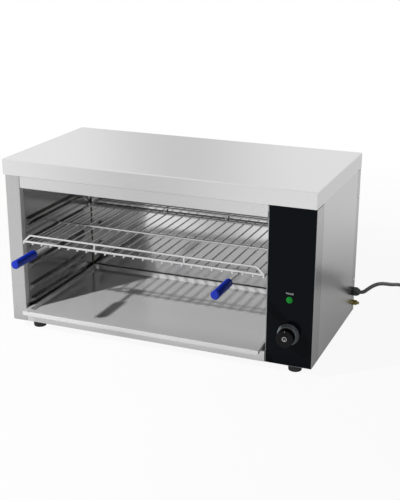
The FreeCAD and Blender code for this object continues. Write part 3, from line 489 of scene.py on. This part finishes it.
@dataclass(frozen=True)
class Rubber:
    """Dull rubber with a powdery bloom and small scuffs."""

    tone: Colour
    roughness: float = 0.62
    bloom: Colour = (0.14, 0.14, 0.145)
    bloom_scale: float = 60.0
    bloom_reach: Pair = (0.02, 0.30)
    bloom_share: float = 0.35
    skin_scale: float = 1400.0
    skin_depth: float = 0.00005
    skin_tone: float = 0.3
    skin_gloss: float = 0.1

    def make(self, name: str) -> bpy.types.Material:
        """Build the material.

        Args:
            name: its name.

        Returns:
            The material.
        """
        net = Net(bpy.data.materials.new(name))
        dust = net.noise(self.bloom_scale, detail=5.0).ramp(*self.bloom_reach)
        skin = net.noise(self.skin_scale, detail=2.0)
        plain = net.shade(self.tone, skin * self.skin_tone)
        tint = net.blend(dust * self.bloom_share, plain, self.bloom)
        gloss = skin * self.skin_gloss + self.roughness
        return net.surface(Base_Color=tint, Roughness=gloss, Normal=net.bump(skin, self.skin_depth))


@dataclass(frozen=True)
class MineralWool:
    """Loose fibres, yellow-brown and lumpy."""

    tone: Colour = (0.42, 0.35, 0.20)
    roughness: float = 0.95
    fibre_scale: float = 500.0
    fibre_stretch: Point = (1.0, 0.15, 0.6)
    lump_scale: float = 60.0
    fibre_tone: float = 0.9
    lump_tone: float = 0.4
    pile: float = 0.0012

    def make(self, name: str) -> bpy.types.Material:
        """Build the material.

        Args:
            name: its name.

        Returns:
            The material.
        """
        net = Net(bpy.data.materials.new(name))
        fibres = net.noise(self.fibre_scale, detail=6.0, stretch=self.fibre_stretch)
        lumps = net.noise(self.lump_scale, detail=3.0)
        tint = net.shade(self.tone, fibres * self.fibre_tone + lumps * self.lump_tone)
        normal = net.bump(fibres + lumps, self.pile)
        return net.surface(Base_Color=tint, Roughness=self.roughness, Normal=normal)


@dataclass(frozen=True)
class SignalLens:
    """A green lamp lens, glossy and faintly lit from behind."""

    tone: Colour = (0.003, 0.17, 0.018)
    glow: float = 0.10
    roughness: float = 0.25
    specular: float = 0.15
    facet_scale: float = 700.0
    facet_depth: float = 0.0002
    facet_share: float = 0.6
    facet_middle: float = 0.2

    def make(self, name: str) -> bpy.types.Material:
        """Build the material.

        Args:
            name: its name.

        Returns:
            The material.
        """
        net = Net(bpy.data.materials.new(name))
        sockets = {"Vector": net.place(), "Scale": self.facet_scale}
        facets = net.node("ShaderNodeTexVoronoi", {}, sockets, "Distance")
        tint = net.shade(self.tone, facets * self.facet_share - self.facet_middle)
        return net.surface(
            Base_Color=tint,
            Roughness=self.roughness,
            Specular_IOR_Level=self.specular,
            Normal=net.bump(facets, self.facet_depth),
            Emission_Color=tint,
            Emission_Strength=self.glow,
        )


@dataclass(frozen=True)
class Print:
    """Pale ink or paint, flat and slightly worn."""

    tone: Colour = (0.62, 0.62, 0.62)
    roughness: float = 0.5
    wear_scale: float = 900.0
    wear_tone: float = 0.3
    wear_gloss: float = 0.2

    def make(self, name: str) -> bpy.types.Material:
        """Build the material.

        Args:
            name: its name.

        Returns:
            The material.
        """
        net = Net(bpy.data.materials.new(name))
        wear = net.noise(self.wear_scale, detail=4.0)
        tint = net.shade(self.tone, wear * self.wear_tone)
        return net.surface(Base_Color=tint, Roughness=wear * self.wear_gloss + self.roughness)


# One casing steel in copies of different tones, for how each face catches the light: the lid's lighter copy
# is painted light and the left post's darker copy is painted shade
LIT_COVER = BrushedSteel((0.82, 0.82, 0.82), Grain.WRAPPED, roughness=0.22, streak_depth=0.00001, contrast=0.03)
SIDE = EdgedSteel((0.66, 0.66, 0.66), Grain.WRAPPED, roughness=0.25, streak_depth=0.000005, contrast=0.02)
SHADED_POST = BrushedSteel((0.49, 0.49, 0.49), Grain.UPRIGHT, streak_depth=0.00001, contrast=0.04)
HEADER = BrushedSteel((0.66, 0.66, 0.66), Grain.ACROSS, streak_depth=0.000004, contrast=0.02)
BACK = BrushedSteel((0.62, 0.62, 0.62), Grain.UPRIGHT, roughness=0.34)
# One liner steel in two copies: the left wall's darker copy is painted shade, and the lighter copy on the
# back, the right wall and the cavity floor is painted light
SHADED_LINER = BrushedSteel(
    (0.26, 0.26, 0.26), Grain.DEPTH, roughness=0.17, metallic=1.0, streak_depth=0.000004, contrast=0.04
)
LIT_LINER = BrushedSteel(
    (0.86, 0.86, 0.86), Grain.ACROSS, roughness=0.11, metallic=1.0, streak_depth=0.000004, contrast=0.04
)
# Darkened steel for the reflector and the element supports: painted shade for the cavity's shaded ceiling
SHADED_REFLECTOR = BrushedSteel(
    (0.22, 0.21, 0.20), Grain.ACROSS, roughness=0.30, metallic=1.0, cloud_scale=14.0, contrast=0.2
)
TRAY = BrushedSteel(
    (0.64, 0.64, 0.64), Grain.ACROSS, roughness=0.13, metallic=0.22, streak_depth=0.000006, contrast=0.04
)
ZINCED = BrushedSteel((0.46, 0.47, 0.48), Grain.ACROSS, roughness=0.42, cloud_scale=40.0, contrast=0.2)
CHROME = PlatedMetal((0.76, 0.76, 0.76), roughness=0.14, metallic=0.8)
ROD_METAL = PlatedMetal((0.80, 0.80, 0.80), roughness=0.22, metallic=0.45)
PLATE_METAL = PlatedMetal((0.7, 0.7, 0.69), roughness=0.35)
PIN_METAL = PlatedMetal((0.66, 0.64, 0.58), roughness=0.2)
SCREW = PlatedMetal((0.60, 0.60, 0.59), roughness=0.3)
BRASS = PlatedMetal((0.30, 0.25, 0.09), roughness=0.28)
COPPER = PlatedMetal((0.66, 0.34, 0.20), roughness=0.3)
KNOB_METAL = PlatedMetal((0.19, 0.21, 0.22), roughness=0.42, metallic=0.35)
FASCIA = MouldedPlastic((0.0016, 0.0028, 0.0044), roughness=0.14, skin_depth=0.00001, specular=0.06)
BLACK_PLASTIC = MouldedPlastic((0.012, 0.012, 0.013), roughness=0.38, specular=0.3)
GREY_PLASTIC = MouldedPlastic((0.075, 0.077, 0.080), roughness=0.40, specular=0.4)
KNOB_BLACK = MouldedPlastic((0.0035, 0.0035, 0.0045), roughness=0.30, specular=0.12)
BLUE_GRIP = MouldedPlastic((0.0050, 0.026, 0.38), roughness=0.22, specular=0.25)
CREAM_PLASTIC = MouldedPlastic((0.66, 0.64, 0.58), roughness=0.5)
CERAMIC = MouldedPlastic((0.70, 0.67, 0.60), roughness=0.6, skin_scale=700.0, skin_depth=0.0001)
FOOT_RUBBER = Rubber((0.016, 0.016, 0.017))
CORD_RUBBER = Rubber((0.19, 0.19, 0.194), roughness=0.45, bloom=(0.26, 0.26, 0.265))
PLUG_RUBBER = Rubber((0.022, 0.022, 0.023), roughness=0.5)
LEAD_RUBBER = Rubber((0.40, 0.35, 0.26))


class Palette:
    """The materials that have been made so far, one for each finish."""

    def __init__(self) -> None:
        """Start empty."""
        self.made: dict[object, bpy.types.Material] = {}

    def get(self, finish: object, name: str) -> bpy.types.Material:
        """The material of a finish.

        Args:
            finish: the finish.
            name: the name it is made under when it is first asked for.

        Returns:
            The material.
        """
        if finish not in self.made:
            self.made[finish] = finish.make(name)
        return self.made[finish]

    def dress(self, nodes: dict[str, object]) -> None:
        """Give solids their finishes.

        Args:
            nodes: a finish for each solid's name.
        """
        for node, finish in nodes.items():
            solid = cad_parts[node]
            solid.data.materials.clear()
            solid.data.materials.append(self.get(finish, f"{node}_finish"))
            log.info("%s dressed", node)


palette = Palette()


class Shape:
    """A mesh that grows piece by piece and then becomes one named object."""

    def __init__(self) -> None:
        """Start with an empty mesh."""
        self.mesh = bmesh.new()

    def lathe(self, profile: list[Pair], foot: Vector, lead: Vector, steps: int = 32) -> None:
        """Turn a profile about a line.

        Args:
            profile: radius and height pairs.
            foot: the line's start, where the height is 0.
            lead: the line's direction.
            steps: sides of the turned form.
        """
        turn = Vector((0.0, 0.0, 1.0)).rotation_difference(lead).to_matrix()
        rings = []
        for radius, height in profile:
            ring = []
            for step in range(steps):
                angle = math.tau * step / steps
                spot = Vector((radius * math.cos(angle), radius * math.sin(angle), height))
                ring.append(self.mesh.verts.new(foot + turn @ spot))
            rings.append(ring)
        for low, high in zip(rings, rings[1:]):
            for step in range(steps):
                after = (step + 1) % steps
                self.mesh.faces.new((low[step], low[after], high[after], high[step]))
        self.mesh.faces.new(rings[0][::-1])
        self.mesh.faces.new(rings[-1])

    def slab(self, low: Vector, high: Vector, round_off: float = 0.0) -> None:
        """Add a block.

        Args:
            low: its lowest corner.
            high: its highest corner.
            round_off: how far its edges are rounded.
        """
        middle = (low + high) / 2
        size = high - low
        place = Matrix.Translation(middle) @ Matrix.Diagonal((*size, 1.0))
        made = bmesh.ops.create_cube(self.mesh, size=1.0, matrix=place)
        if round_off > 0.0:
            edges = list({edge for vert in made["verts"] for edge in vert.link_edges})
            bmesh.ops.bevel(self.mesh, geom=edges, offset=round_off, segments=3, profile=0.5, affect="EDGES")

    def bead(self, centre: Vector, size: Vector) -> None:
        """Add a small rounded bead of that size at that centre."""
        place = Matrix.Translation(centre) @ Matrix.Diagonal((*size, 1.0))
        bmesh.ops.create_icosphere(self.mesh, subdivisions=2, radius=0.5, matrix=place)

    def finish(self, name: str, look: object, body: str, slot: str) -> bpy.types.Object:
        """Close the mesh into an object.

        Args:
            name: the object's name.
            look: its finish.
            body: the body it moves with.
            slot: not used; the name of a material slot in the record.

        Returns:
            The new object.
        """
        bmesh.ops.recalc_face_normals(self.mesh, faces=self.mesh.faces)
        for face in self.mesh.faces:
            face.smooth = len(face.verts) < 5
        data = bpy.data.meshes.new(name)
        self.mesh.to_mesh(data)
        self.mesh.free()
        piece = bpy.data.objects.new(name, data)
        return settle(piece, look, body)


def settle(piece: bpy.types.Object, look: object, body: str) -> bpy.types.Object:
    """Put a new piece into the scene.

    Args:
        piece: the object.
        look: its finish.
        body: the body it moves with.

    Returns:
        The same object.
    """
    bpy.context.scene.collection.objects.link(piece)
    piece.data.materials.clear()
    piece.data.materials.append(palette.get(look, f"{piece.name}_finish"))
    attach(piece, body)
    log.info("%s built", piece.name)
    return piece


def corners(node: str) -> tuple[Vector, Vector]:
    """The lowest and highest corner of a solid."""
    low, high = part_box(node)
    return Vector(low), Vector(high)


def table_origin() -> Vector:
    """The middle of the lid's front edge, taken down to the table."""
    low, high = corners("top_cover")
    return Vector(((low.x + high.x) / 2, low.y, 0.0))


@dataclass
class Casing:
    """The lid, panels, cavity walls, feet and everything fixed inside them."""

    plate_size: Pair = (0.070, 0.040)
    plate_thickness: float = 0.0005
    plate_edge: float = 0.00015
    plate_height: float = 0.070
    pin_radius: float = 0.0016
    # The pin's head from its foot up, as shares of its radius and the heights there
    pin_profile: tuple[Pair, ...] = ((1.0, 0.0), (0.8, 0.0004), (0.3, 0.0006))
    pin_sides: int = 16
    pin_inset_share: float = 2.5
    front_strip: float = 0.0402
    rear_strip: float = 0.0225

    def dress(self) -> None:
        """Give the casing's solids their finishes."""
        low, high = corners("right_side_panel")
        lid_edge = corners("top_cover")[0].z
        side = replace(SIDE, front=low.y + self.front_strip, rear=high.y - self.rear_strip, top=lid_edge)
        feet = {f"foot_{row}_{hand}": FOOT_RUBBER for row in ("front", "rear") for hand in ("left", "right")}
        palette.dress(
            {
                "top_cover": LIT_COVER,
                "left_side_panel": SHADED_POST,
                "right_side_panel": side,
                "back_panel": BACK,
                "front_header": HEADER,
                "lower_front_rail": HEADER,
                "liner_left": SHADED_LINER,
                "liner_right": LIT_LINER,
                "liner_back": LIT_LINER,
                "cavity_floor": LIT_LINER,
                "reflector": SHADED_REFLECTOR,
                "base_pan": ZINCED,
                "rear_uprights": ZINCED,
                "back_panel_screws": SCREW,
                "side_panel_rivets": SCREW,
                "foot_screws": SCREW,
                "insulation_top": MineralWool(),
                "insulation_left": MineralWool(),
                "insulation_back": MineralWool(),
            }
        )
        palette.dress(feet)

    def build(self) -> None:
        """Add the bare rating plate and its pins on the back."""
        low, high = corners("back_panel")
        centre = Vector(((low.x + high.x) / 2, high.y, self.plate_height))
        half = Vector((self.plate_size[0] / 2, 0.0, self.plate_size[1] / 2))
        plate = Shape()
        inset = self.pin_inset_share * self.pin_radius
        profile = [(self.pin_radius * share, height) for share, height in self.pin_profile]
        for side in (-1, 1):
            for end in (-1, 1):
                offset = Vector((side * (half.x - inset), self.plate_thickness, end * (half.z - inset)))
                plate.lathe(profile, centre + offset, Vector((0.0, 1.0, 0.0)), self.pin_sides)
        # The slab comes last, because faces added after its rounding are in another order from run to run
        plate.slab(centre - half, centre + half + Vector((0.0, self.plate_thickness, 0.0)), self.plate_edge)
        plate.finish("rating_plate", PLATE_METAL, "casing", "rivet_aluminium")


@dataclass
class Heating:
    """The elements under the reflector and what holds and feeds them."""

    def dress(self) -> None:
        """Give the heating's solids their finishes."""
        palette.dress({f"heating_element_{row}": HeatedSheath() for row in ("front", "middle", "rear")})
        palette.dress(
            {
                "element_supports": SHADED_REFLECTOR,
                "element_flanges": ZINCED,
                "element_terminals": BRASS,
                "terminal_block": CERAMIC,
                "wiring_harness": LEAD_RUBBER,
            }
        )


@dataclass
class Controls:
    """The black control panel with its lamp, and the knob."""

    word: str = "POWER"
    word_size: float = 0.00392
    word_gap: float = 0.0042
    ink: float = 0.00008
    mark_radius: float = 0.0042
    mark_width: float = 0.0009
    pointer_length: float = 0.0030
    pointer_share: float = 0.97
    ring_steps: int = 48

    def dress(self) -> None:
        """Give the controls' solids their finishes."""
        palette.dress(
            {
                "control_panel": FASCIA,
                "control_bracket": ZINCED,
                "pilot_lamp_lens": SignalLens(),
                "pilot_lamp_body": CREAM_PLASTIC,
                "thermostat_body": ZINCED,
                "thermostat_bulb": COPPER,
                "capillary_tube": COPPER,
                "thermostat_shaft": SCREW,
                "knob_skirt": KNOB_METAL,
                "thermostat_knob": KNOB_BLACK,
            }
        )

    def build(self) -> None:
        """Add the lamp's word and the knob's marks."""
        self._lamp_word()
        self._knob_marks()

    def _lamp_word(self) -> None:
        """Print the lamp's word just above the lens."""
        low, high = corners("pilot_lamp_lens")
        text = bpy.data.curves.new("lamp_word_text", "FONT")
        text.body = self.word
        text.size = self.word_size
        text.align_x = "CENTER"
        text.extrude = self.ink
        source = bpy.data.objects.new("lamp_word_text", text)
        data = bpy.data.meshes.new_from_object(source)
        bpy.data.objects.remove(source)
        bpy.data.curves.remove(text)
        face = corners("control_panel")[0].y
        spot = Vector(((low.x + high.x) / 2, face, high.z + self.word_gap))
        data.transform(Matrix.Translation(spot) @ Matrix.Rotation(math.pi / 2, 4, "X"))
        data.name = "lamp_word"
        settle(bpy.data.objects.new("lamp_word", data), Print(), "casing")

    def _knob_marks(self) -> None:
        """Print a pointer and a ring with a short bar on the knob's face."""
        low, high = corners("thermostat_knob")
        centre = Vector(((low.x + high.x) / 2, low.y, (low.z + high.z) / 2))
        radius = (high.x - low.x) / 2
        marks = Shape()
        reach = radius * self.pointer_share
        half = self.mark_width / 2
        for foot, tip in ((reach - self.pointer_length, reach), (-self.mark_radius, 0.0)):
            marks.slab(centre + Vector((-half, -self.ink, foot)), centre + Vector((half, self.ink, tip)))
        inner = self.mark_radius - self.mark_width
        ring = [(self.mark_radius, 0.0), (self.mark_radius, self.ink), (inner, self.ink), (inner, 0.0)]
        self._band(marks, ring, centre)
        marks.finish("knob_marks", Print(), "knob", "knob_black")

    def _band(self, shape: Shape, profile: list[Pair], centre: Vector) -> None:
        """Turn a closed ring section about the knob's axis, raised towards the front.

        Args:
            shape: the mesh it goes into.
            profile: radius and height pairs round the section.
            centre: the middle of the knob's face.
        """
        rings = []
        for step in range(self.ring_steps):
            angle = math.tau * step / self.ring_steps
            lead = Vector((math.sin(angle), 0.0, math.cos(angle)))
            spots = [centre + lead * radius - Vector((0.0, height, 0.0)) for radius, height in profile]
            rings.append([shape.mesh.verts.new(spot) for spot in spots])
        for step in range(self.ring_steps):
            here, there = rings[step], rings[(step + 1) % self.ring_steps]
            for side in range(len(profile)):
                after = (side + 1) % len(profile)
                shape.mesh.faces.new((here[side], here[after], there[after], there[side]))


@dataclass
class Rack:
    """The wire rack with its handles."""

    long_wire_count: int = 26
    long_wire_radius: float = 0.0015
    wire_nub: float = 0.003
    bead_size: Point = (0.0042, 0.0050, 0.0026)
    bead_sink: float = 0.0002

    def dress(self) -> None:
        """Give the rack's solids their finishes."""
        palette.dress(
            {
                "rack_grid": CHROME,
                "rack_front_rail": CHROME,
                "rack_back_rail": CHROME,
                "handle_rod_left": ROD_METAL,
                "handle_rod_right": ROD_METAL,
                "handle_grip_left": BLUE_GRIP,
                "handle_grip_right": BLUE_GRIP,
            }
        )

    def build(self) -> None:
        """Add a weld bead wherever a long wire meets a cross wire."""
        low, high = corners("rack_grid")
        pitch = (high.x - low.x - 2 * self.long_wire_radius) / (self.long_wire_count - 1)
        front = low.y + self.wire_nub
        back = high.y - self.wire_nub
        seam = low.z + 2 * self.long_wire_radius - self.bead_sink
        beads = Shape()
        for wire in range(self.long_wire_count):
            for row in (front, (front + back) / 2, back):
                spot = Vector((low.x + self.long_wire_radius + pitch * wire, row, seam))
                beads.bead(spot, Vector(self.bead_size))
        beads.finish("rack_weld_beads", CHROME, "rack", "chrome_wire")


@dataclass
class Tray:
    """The drip tray."""

    def dress(self) -> None:
        """Give the tray its finish."""
        palette.dress({"drip_tray": TRAY})


@dataclass
class Mains:
    """The cable gland, the bonding terminal, the cord with its put-away coil, and the plug."""

    cord_radius: float = 0.00375
    cord_length: float = 1.40
    turn_radius: float = 0.0485
    turn_gap: float = 0.0009
    turns_in: float = 2.25
    turns_out: float = 2.0
    points_per_turn: int = 24
    climb_turns: float = 0.5
    # The cord's last stretch has a point after the coil and one before the plug, at these shares of its run
    after_coil_share: float = 0.30
    before_plug_share: float = 0.35
    tube_roundness: int = 5
    tube_steps: int = 8
    rib_count: int = 5
    rib_start: float = 0.006
    rib_pitch: float = 0.0045
    rib_depth: float = 0.0015
    rib_size: Point = (0.0030, 0.0026, 0.016)
    # Places from the middle of the lid's front edge on the table
    route: list[Point] = field(
        default_factory=lambda: [
            (0.3197, 0.2900, 0.0623),
            (0.3269, 0.2900, 0.0623),
            (0.3352, 0.2934, 0.0702),
            (0.3468, 0.3023, 0.0775),
            (0.3560, 0.3190, 0.0756),
            (0.3622, 0.3435, 0.0668),
            (0.3674, 0.3750, 0.0550),
            (0.3716, 0.4110, 0.0435),
            (0.3765, 0.4470, 0.0290),
            (0.3830, 0.4790, 0.0165),
            (0.3930, 0.5040, 0.0085),
            (0.4100, 0.5210, 0.00505),
            (0.4280, 0.5280, 0.00505),
            (0.4440, 0.5280, 0.00505),
        ]
    )

    def dress(self) -> None:
        """Give the mains parts' solids their finishes."""
        palette.dress(
            {
                "cable_gland_body": BLACK_PLASTIC,
                "cable_gland_nut": GREY_PLASTIC,
                "cable_gland_locknut": BLACK_PLASTIC,
                "bonding_stud": BRASS,
                "bonding_nuts": BRASS,
                "cord_tie": BLACK_PLASTIC,
                "plug_body": PLUG_RUBBER,
                "plug_pins": PIN_METAL,
            }
        )

    def build(self) -> None:
        """Add the cord and the ribs on the plug."""
        points = [Vector(point) + table_origin() for point in self.route]
        points += self._coil(points[-1])
        ribs = self._plug_ribs()
        cord = self._cord(points)

    def _coil(self, entry: Vector) -> list[Vector]:
        """The points of the coil and of its end.

        Args:
            entry: the last point of the free stretch.

        Returns:
            Points from the coil's first turn to the plug.
        """
        pitch = 2 * self.cord_radius + self.turn_gap
        start = entry + Vector((2 * self.cord_radius, 0.0, 0.0))
        centre = Vector((start.x, start.y - self.turn_radius, 0.0))
        inner = self.turn_radius - pitch * self.turns_in
        total = self.turns_in + self.turns_out
        points = []
        for index in range(round(total * self.points_per_turn) + 1):
            turns = index / self.points_per_turn
            radius = inner + pitch * abs(turns - self.turns_in)
            done = min(max((turns - self.turns_in) / self.climb_turns + 0.5, 0.0), 1.0)
            height = entry.z + pitch * done * done * (3.0 - 2.0 * done)
            angle = math.tau * turns
            points.append(centre + Vector((radius * math.sin(angle), radius * math.cos(angle), height)))
        low, high = corners("plug_body")
        plug = Vector(((low.x + high.x) / 2, high.y, (low.z + high.z) / 2))
        leave = points[-1]
        run = plug - leave
        points.append(leave + Vector((0.0, run.y * self.after_coil_share, 0.0)))
        points.append(plug - Vector((0.0, run.y * self.before_plug_share, 0.0)))
        points.append(plug)
        return points

    def _cord(self, points: list[Vector]) -> bpy.types.Object:
        """One smooth tube through the whole route.

        Args:
            points: the route's control points.

        Returns:
            The cord.
        """
        line = bpy.data.curves.new("mains_cord", "CURVE")
        line.dimensions = "3D"
        line.bevel_depth = self.cord_radius
        line.bevel_resolution = self.tube_roundness
        line.resolution_u = self.tube_steps
        line.use_fill_caps = True
        spline = line.splines.new("NURBS")
        spline.points.add(len(points) - 1)
        for spot, point in zip(spline.points, points):
            spot.co = (*point, 1.0)
        spline.order_u = 3
        spline.use_endpoint_u = True
        spline.use_smooth = True
        cord = settle(bpy.data.objects.new("mains_cord", line), CORD_RUBBER, "casing")
        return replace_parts(cord, "power_cord", "power_cord_coil")

    def _plug_ribs(self) -> bpy.types.Object:
        """Raised grip bars on both sides of the plug's body.

        Returns:
            The bars.
        """
        low, high = corners("plug_body")
        radius = (high.x - low.x) / 2
        centre = Vector(((low.x + high.x) / 2, low.y, (low.z + high.z) / 2))
        ribs = Shape()
        for side in (-1, 1):
            for index in range(self.rib_count):
                y = centre.y + self.rib_start + self.rib_pitch * index
                spot = Vector((centre.x + side * (radius - self.rib_depth), y, centre.z))
                ribs.bead(spot, Vector(self.rib_size))
        return ribs.finish("plug_grip_bars", PLUG_RUBBER, "casing", "plug_rubber")


@dataclass
class Studio:
    """The pale floor, the white surroundings, the lamp and the camera."""

    floor_size: float = 30.0
    floor_drop: float = 0.0003
    floor_tone: float = 0.8
    floor_roughness: float = 0.9
    floor_grain_scale: float = 3.0
    floor_grain_tone: float = 0.03
    azimuth: float = 0.3884692
    elevation: float = 0.3307449
    roll: float = 0.0022544
    # Places from the middle of the lid's front edge on the table
    eye: Point = (0.718834, -1.523096, 0.777908)
    lens: float = 71.139
    sensor: float = 36.0
    clip: Pair = (0.05, 100.0)
    key_place: Point = (-0.84, -0.99, 1.05)
    key_size: float = 0.05
    key_power: float = 29.0
    ambient: float = 0.17
    # How white the floor is to the camera near the object, and the distances over which it gets wholly white
    floor_white: float = 0.93
    floor_white_reach: Pair = (0.5, 1.7)
    # The same for mirrors, to which it is whiter just in front of the object
    floor_shine: float = 0.27
    floor_shine_reach: Pair = (0.18, 1.26)
    ahead_reach: Pair = (-0.08, -0.22)
    ahead_lift: float = 0.9
    # The soft dusk that mirrors see, painted shade in the surroundings and on the floor: a darker band by how
    # far they look to the side, and on the floor an even darkening from in front of the object back
    dusk_lean: float = -0.41
    dusk_width: float = 0.14
    dusk_depth: float = 0.30
    dusk_floor_lean: float = -0.45
    dusk_floor_width: float = 0.38
    dusk_floor_depth: float = 0.39
    dusk_behind: float = 0.20

    def build(self) -> None:
        """Make the floor, the world, the lamp and the camera."""
        low, high = corners("top_cover")
        middle = Vector(((low.x + high.x) / 2, (low.y + high.y) / 2, high.z / 2))
        self._floor()
        self._world()
        self._lamp("key_lamp", table_origin() + Vector(self.key_place), middle, self.key_size, self.key_power)
        self._camera(table_origin() + Vector(self.eye))
        bpy.context.scene.view_settings.view_transform = "Standard"

    def _dusk(self, across: Signal, deep: Signal, lean: float, width: float, depth: float) -> Signal:
        """A soft darker band.

        Args:
            across: the way or place across.
            deep: the way or place in depth.
            lean: across over depth in the band's middle.
            width: how far the band reaches to each side.
            depth: its strength in the middle.

        Returns:
            The band's strength.
        """
        slope = across / (abs(deep) + LEAST_DIVISOR)
        return (1 - abs(slope - lean).ramp(0.0, width)) * depth

    def _floor(self) -> None:
        """A wide pale floor, plain white farther out, that keeps the object's shadow near it."""
        data = bpy.data.meshes.new("floor")
        half = self.floor_size / 2
        outline = [(-half, -half, 0), (half, -half, 0), (half, half, 0), (-half, half, 0)]
        data.from_pydata(outline, [], [(0, 1, 2, 3)])
        floor = bpy.data.objects.new("floor", data)
        floor.location.z = -self.floor_drop
        bpy.context.scene.collection.objects.link(floor)
        data.materials.append(self._floor_finish())

    def _floor_finish(self) -> bpy.types.Material:
        """Paint, mixed with plain white for the camera, and for mirrors with white that has painted shade in
        darker bands.

        Returns:
            The floor's material.
        """
        net = Net(bpy.data.materials.new("floor_finish"))
        away = net.node("ShaderNodeVectorMath", {"operation": "LENGTH"}, {0: net.place()}, "Value")
        grain = net.noise(self.floor_grain_scale, detail=2.0) * self.floor_grain_tone
        tone = net.shade((self.floor_tone,) * 3, grain)
        sockets = {"Base Color": tone, "Roughness": self.floor_roughness, "Specular IOR Level": 0.0}
        paint = net.node("ShaderNodeBsdfPrincipled", {}, sockets)
        near = away.ramp(*self.floor_white_reach) * (1 - self.floor_white) + self.floor_white
        across, deep = net.place().axis("X"), net.place().axis("Y")
        ahead = deep.ramp(*self.ahead_reach)
        band = self._dusk(across, deep, self.dusk_floor_lean, self.dusk_floor_width, self.dusk_floor_depth)
        dusk = band * ahead + (1 - ahead) * self.dusk_behind
        pale = net.blend(dusk * net.mirrored(), WHITE, BLACK)
        white = net.node("ShaderNodeEmission", {}, {"Color": pale, "Strength": 1.0})
        reached = (away + ahead * self.ahead_lift).ramp(*self.floor_shine_reach)
        shine = reached * (1 - self.floor_shine) + self.floor_shine
        seen = net.path("Is Camera Ray") * near + net.mirrored() * shine
        return net.finish(net.mixed(seen, paint, white))

    def _world(self) -> None:
        """White surroundings for the camera, white with a band of painted shade for reflections, and an even
        soft light.
        """
        world = bpy.data.worlds.new("surroundings")
        bpy.context.scene.world = world
        net = Net(world)
        way = net.node("ShaderNodeTexCoord", {}, {}, "Generated")
        band = self._dusk(way.axis("X"), way.axis("Y"), self.dusk_lean, self.dusk_width, self.dusk_depth)
        soft = self._sky(net, (*WHITE, 1.0), self.ambient)
        shine = self._sky(net, net.blend(band, WHITE, BLACK), 1.0)
        white = self._sky(net, (*WHITE, 1.0), 1.0)
        net.finish(net.mixed(net.path("Is Camera Ray"), net.mixed(net.mirrored(), soft, shine), white))

    def _sky(self, net: Net, colour: object, strength: float) -> Signal:
        """One even background of a colour and strength."""
        return net.node("ShaderNodeBackground", {}, {"Color": colour, "Strength": strength})

    def _lamp(self, name: str, place: Vector, target: Vector, size: float, power: float) -> None:
        """Hang a round area lamp.

        Args:
            name: the lamp's name.
            place: where it hangs.
            target: what it points at.
            size: its diameter.
            power: its power in watts.
        """
        light = bpy.data.lights.new(name, "AREA")
        light.shape = "DISK"
        light.size = size
        light.energy = power
        lamp = bpy.data.objects.new(name, light)
        lamp.visible_glossy = False
        lamp.location = place
        lamp.rotation_euler = (target - place).to_track_quat("-Z", "Y").to_euler()
        bpy.context.scene.collection.objects.link(lamp)

    def _camera(self, eye: Vector) -> None:
        """Stand the camera at the photograph's viewing angle.

        Args:
            eye: where it stands.
        """
        back = Vector(
            (
                math.sin(self.azimuth) * math.cos(self.elevation),
                -math.cos(self.azimuth) * math.cos(self.elevation),
                math.sin(self.elevation),
            )
        )
        right = Vector((0.0, 0.0, 1.0)).cross(back).normalized()
        up = back.cross(right)
        c, s = math.cos(self.roll), math.sin(self.roll)
        turned = Matrix((c * right + s * up, c * up - s * right, back)).transposed()
        data = bpy.data.cameras.new("camera")
        data.lens = self.lens
        data.sensor_width = self.sensor
        data.clip_start, data.clip_end = self.clip
        camera = bpy.data.objects.new("camera", data)
        camera.matrix_world = Matrix.Translation(eye) @ turned.to_4x4()
        bpy.context.scene.collection.objects.link(camera)
        bpy.context.scene.camera = camera


def main() -> None:
    """Build every sub-assembly in order."""
    logging.basicConfig(level=logging.INFO, format="%(message)s")
    Studio().build()
    for part in (Mains(), Casing(), Heating(), Controls(), Rack(), Tray()):
        part.dress()
        if hasattr(part, "build"):
            part.build()


if __name__ == "__main__":
    main()
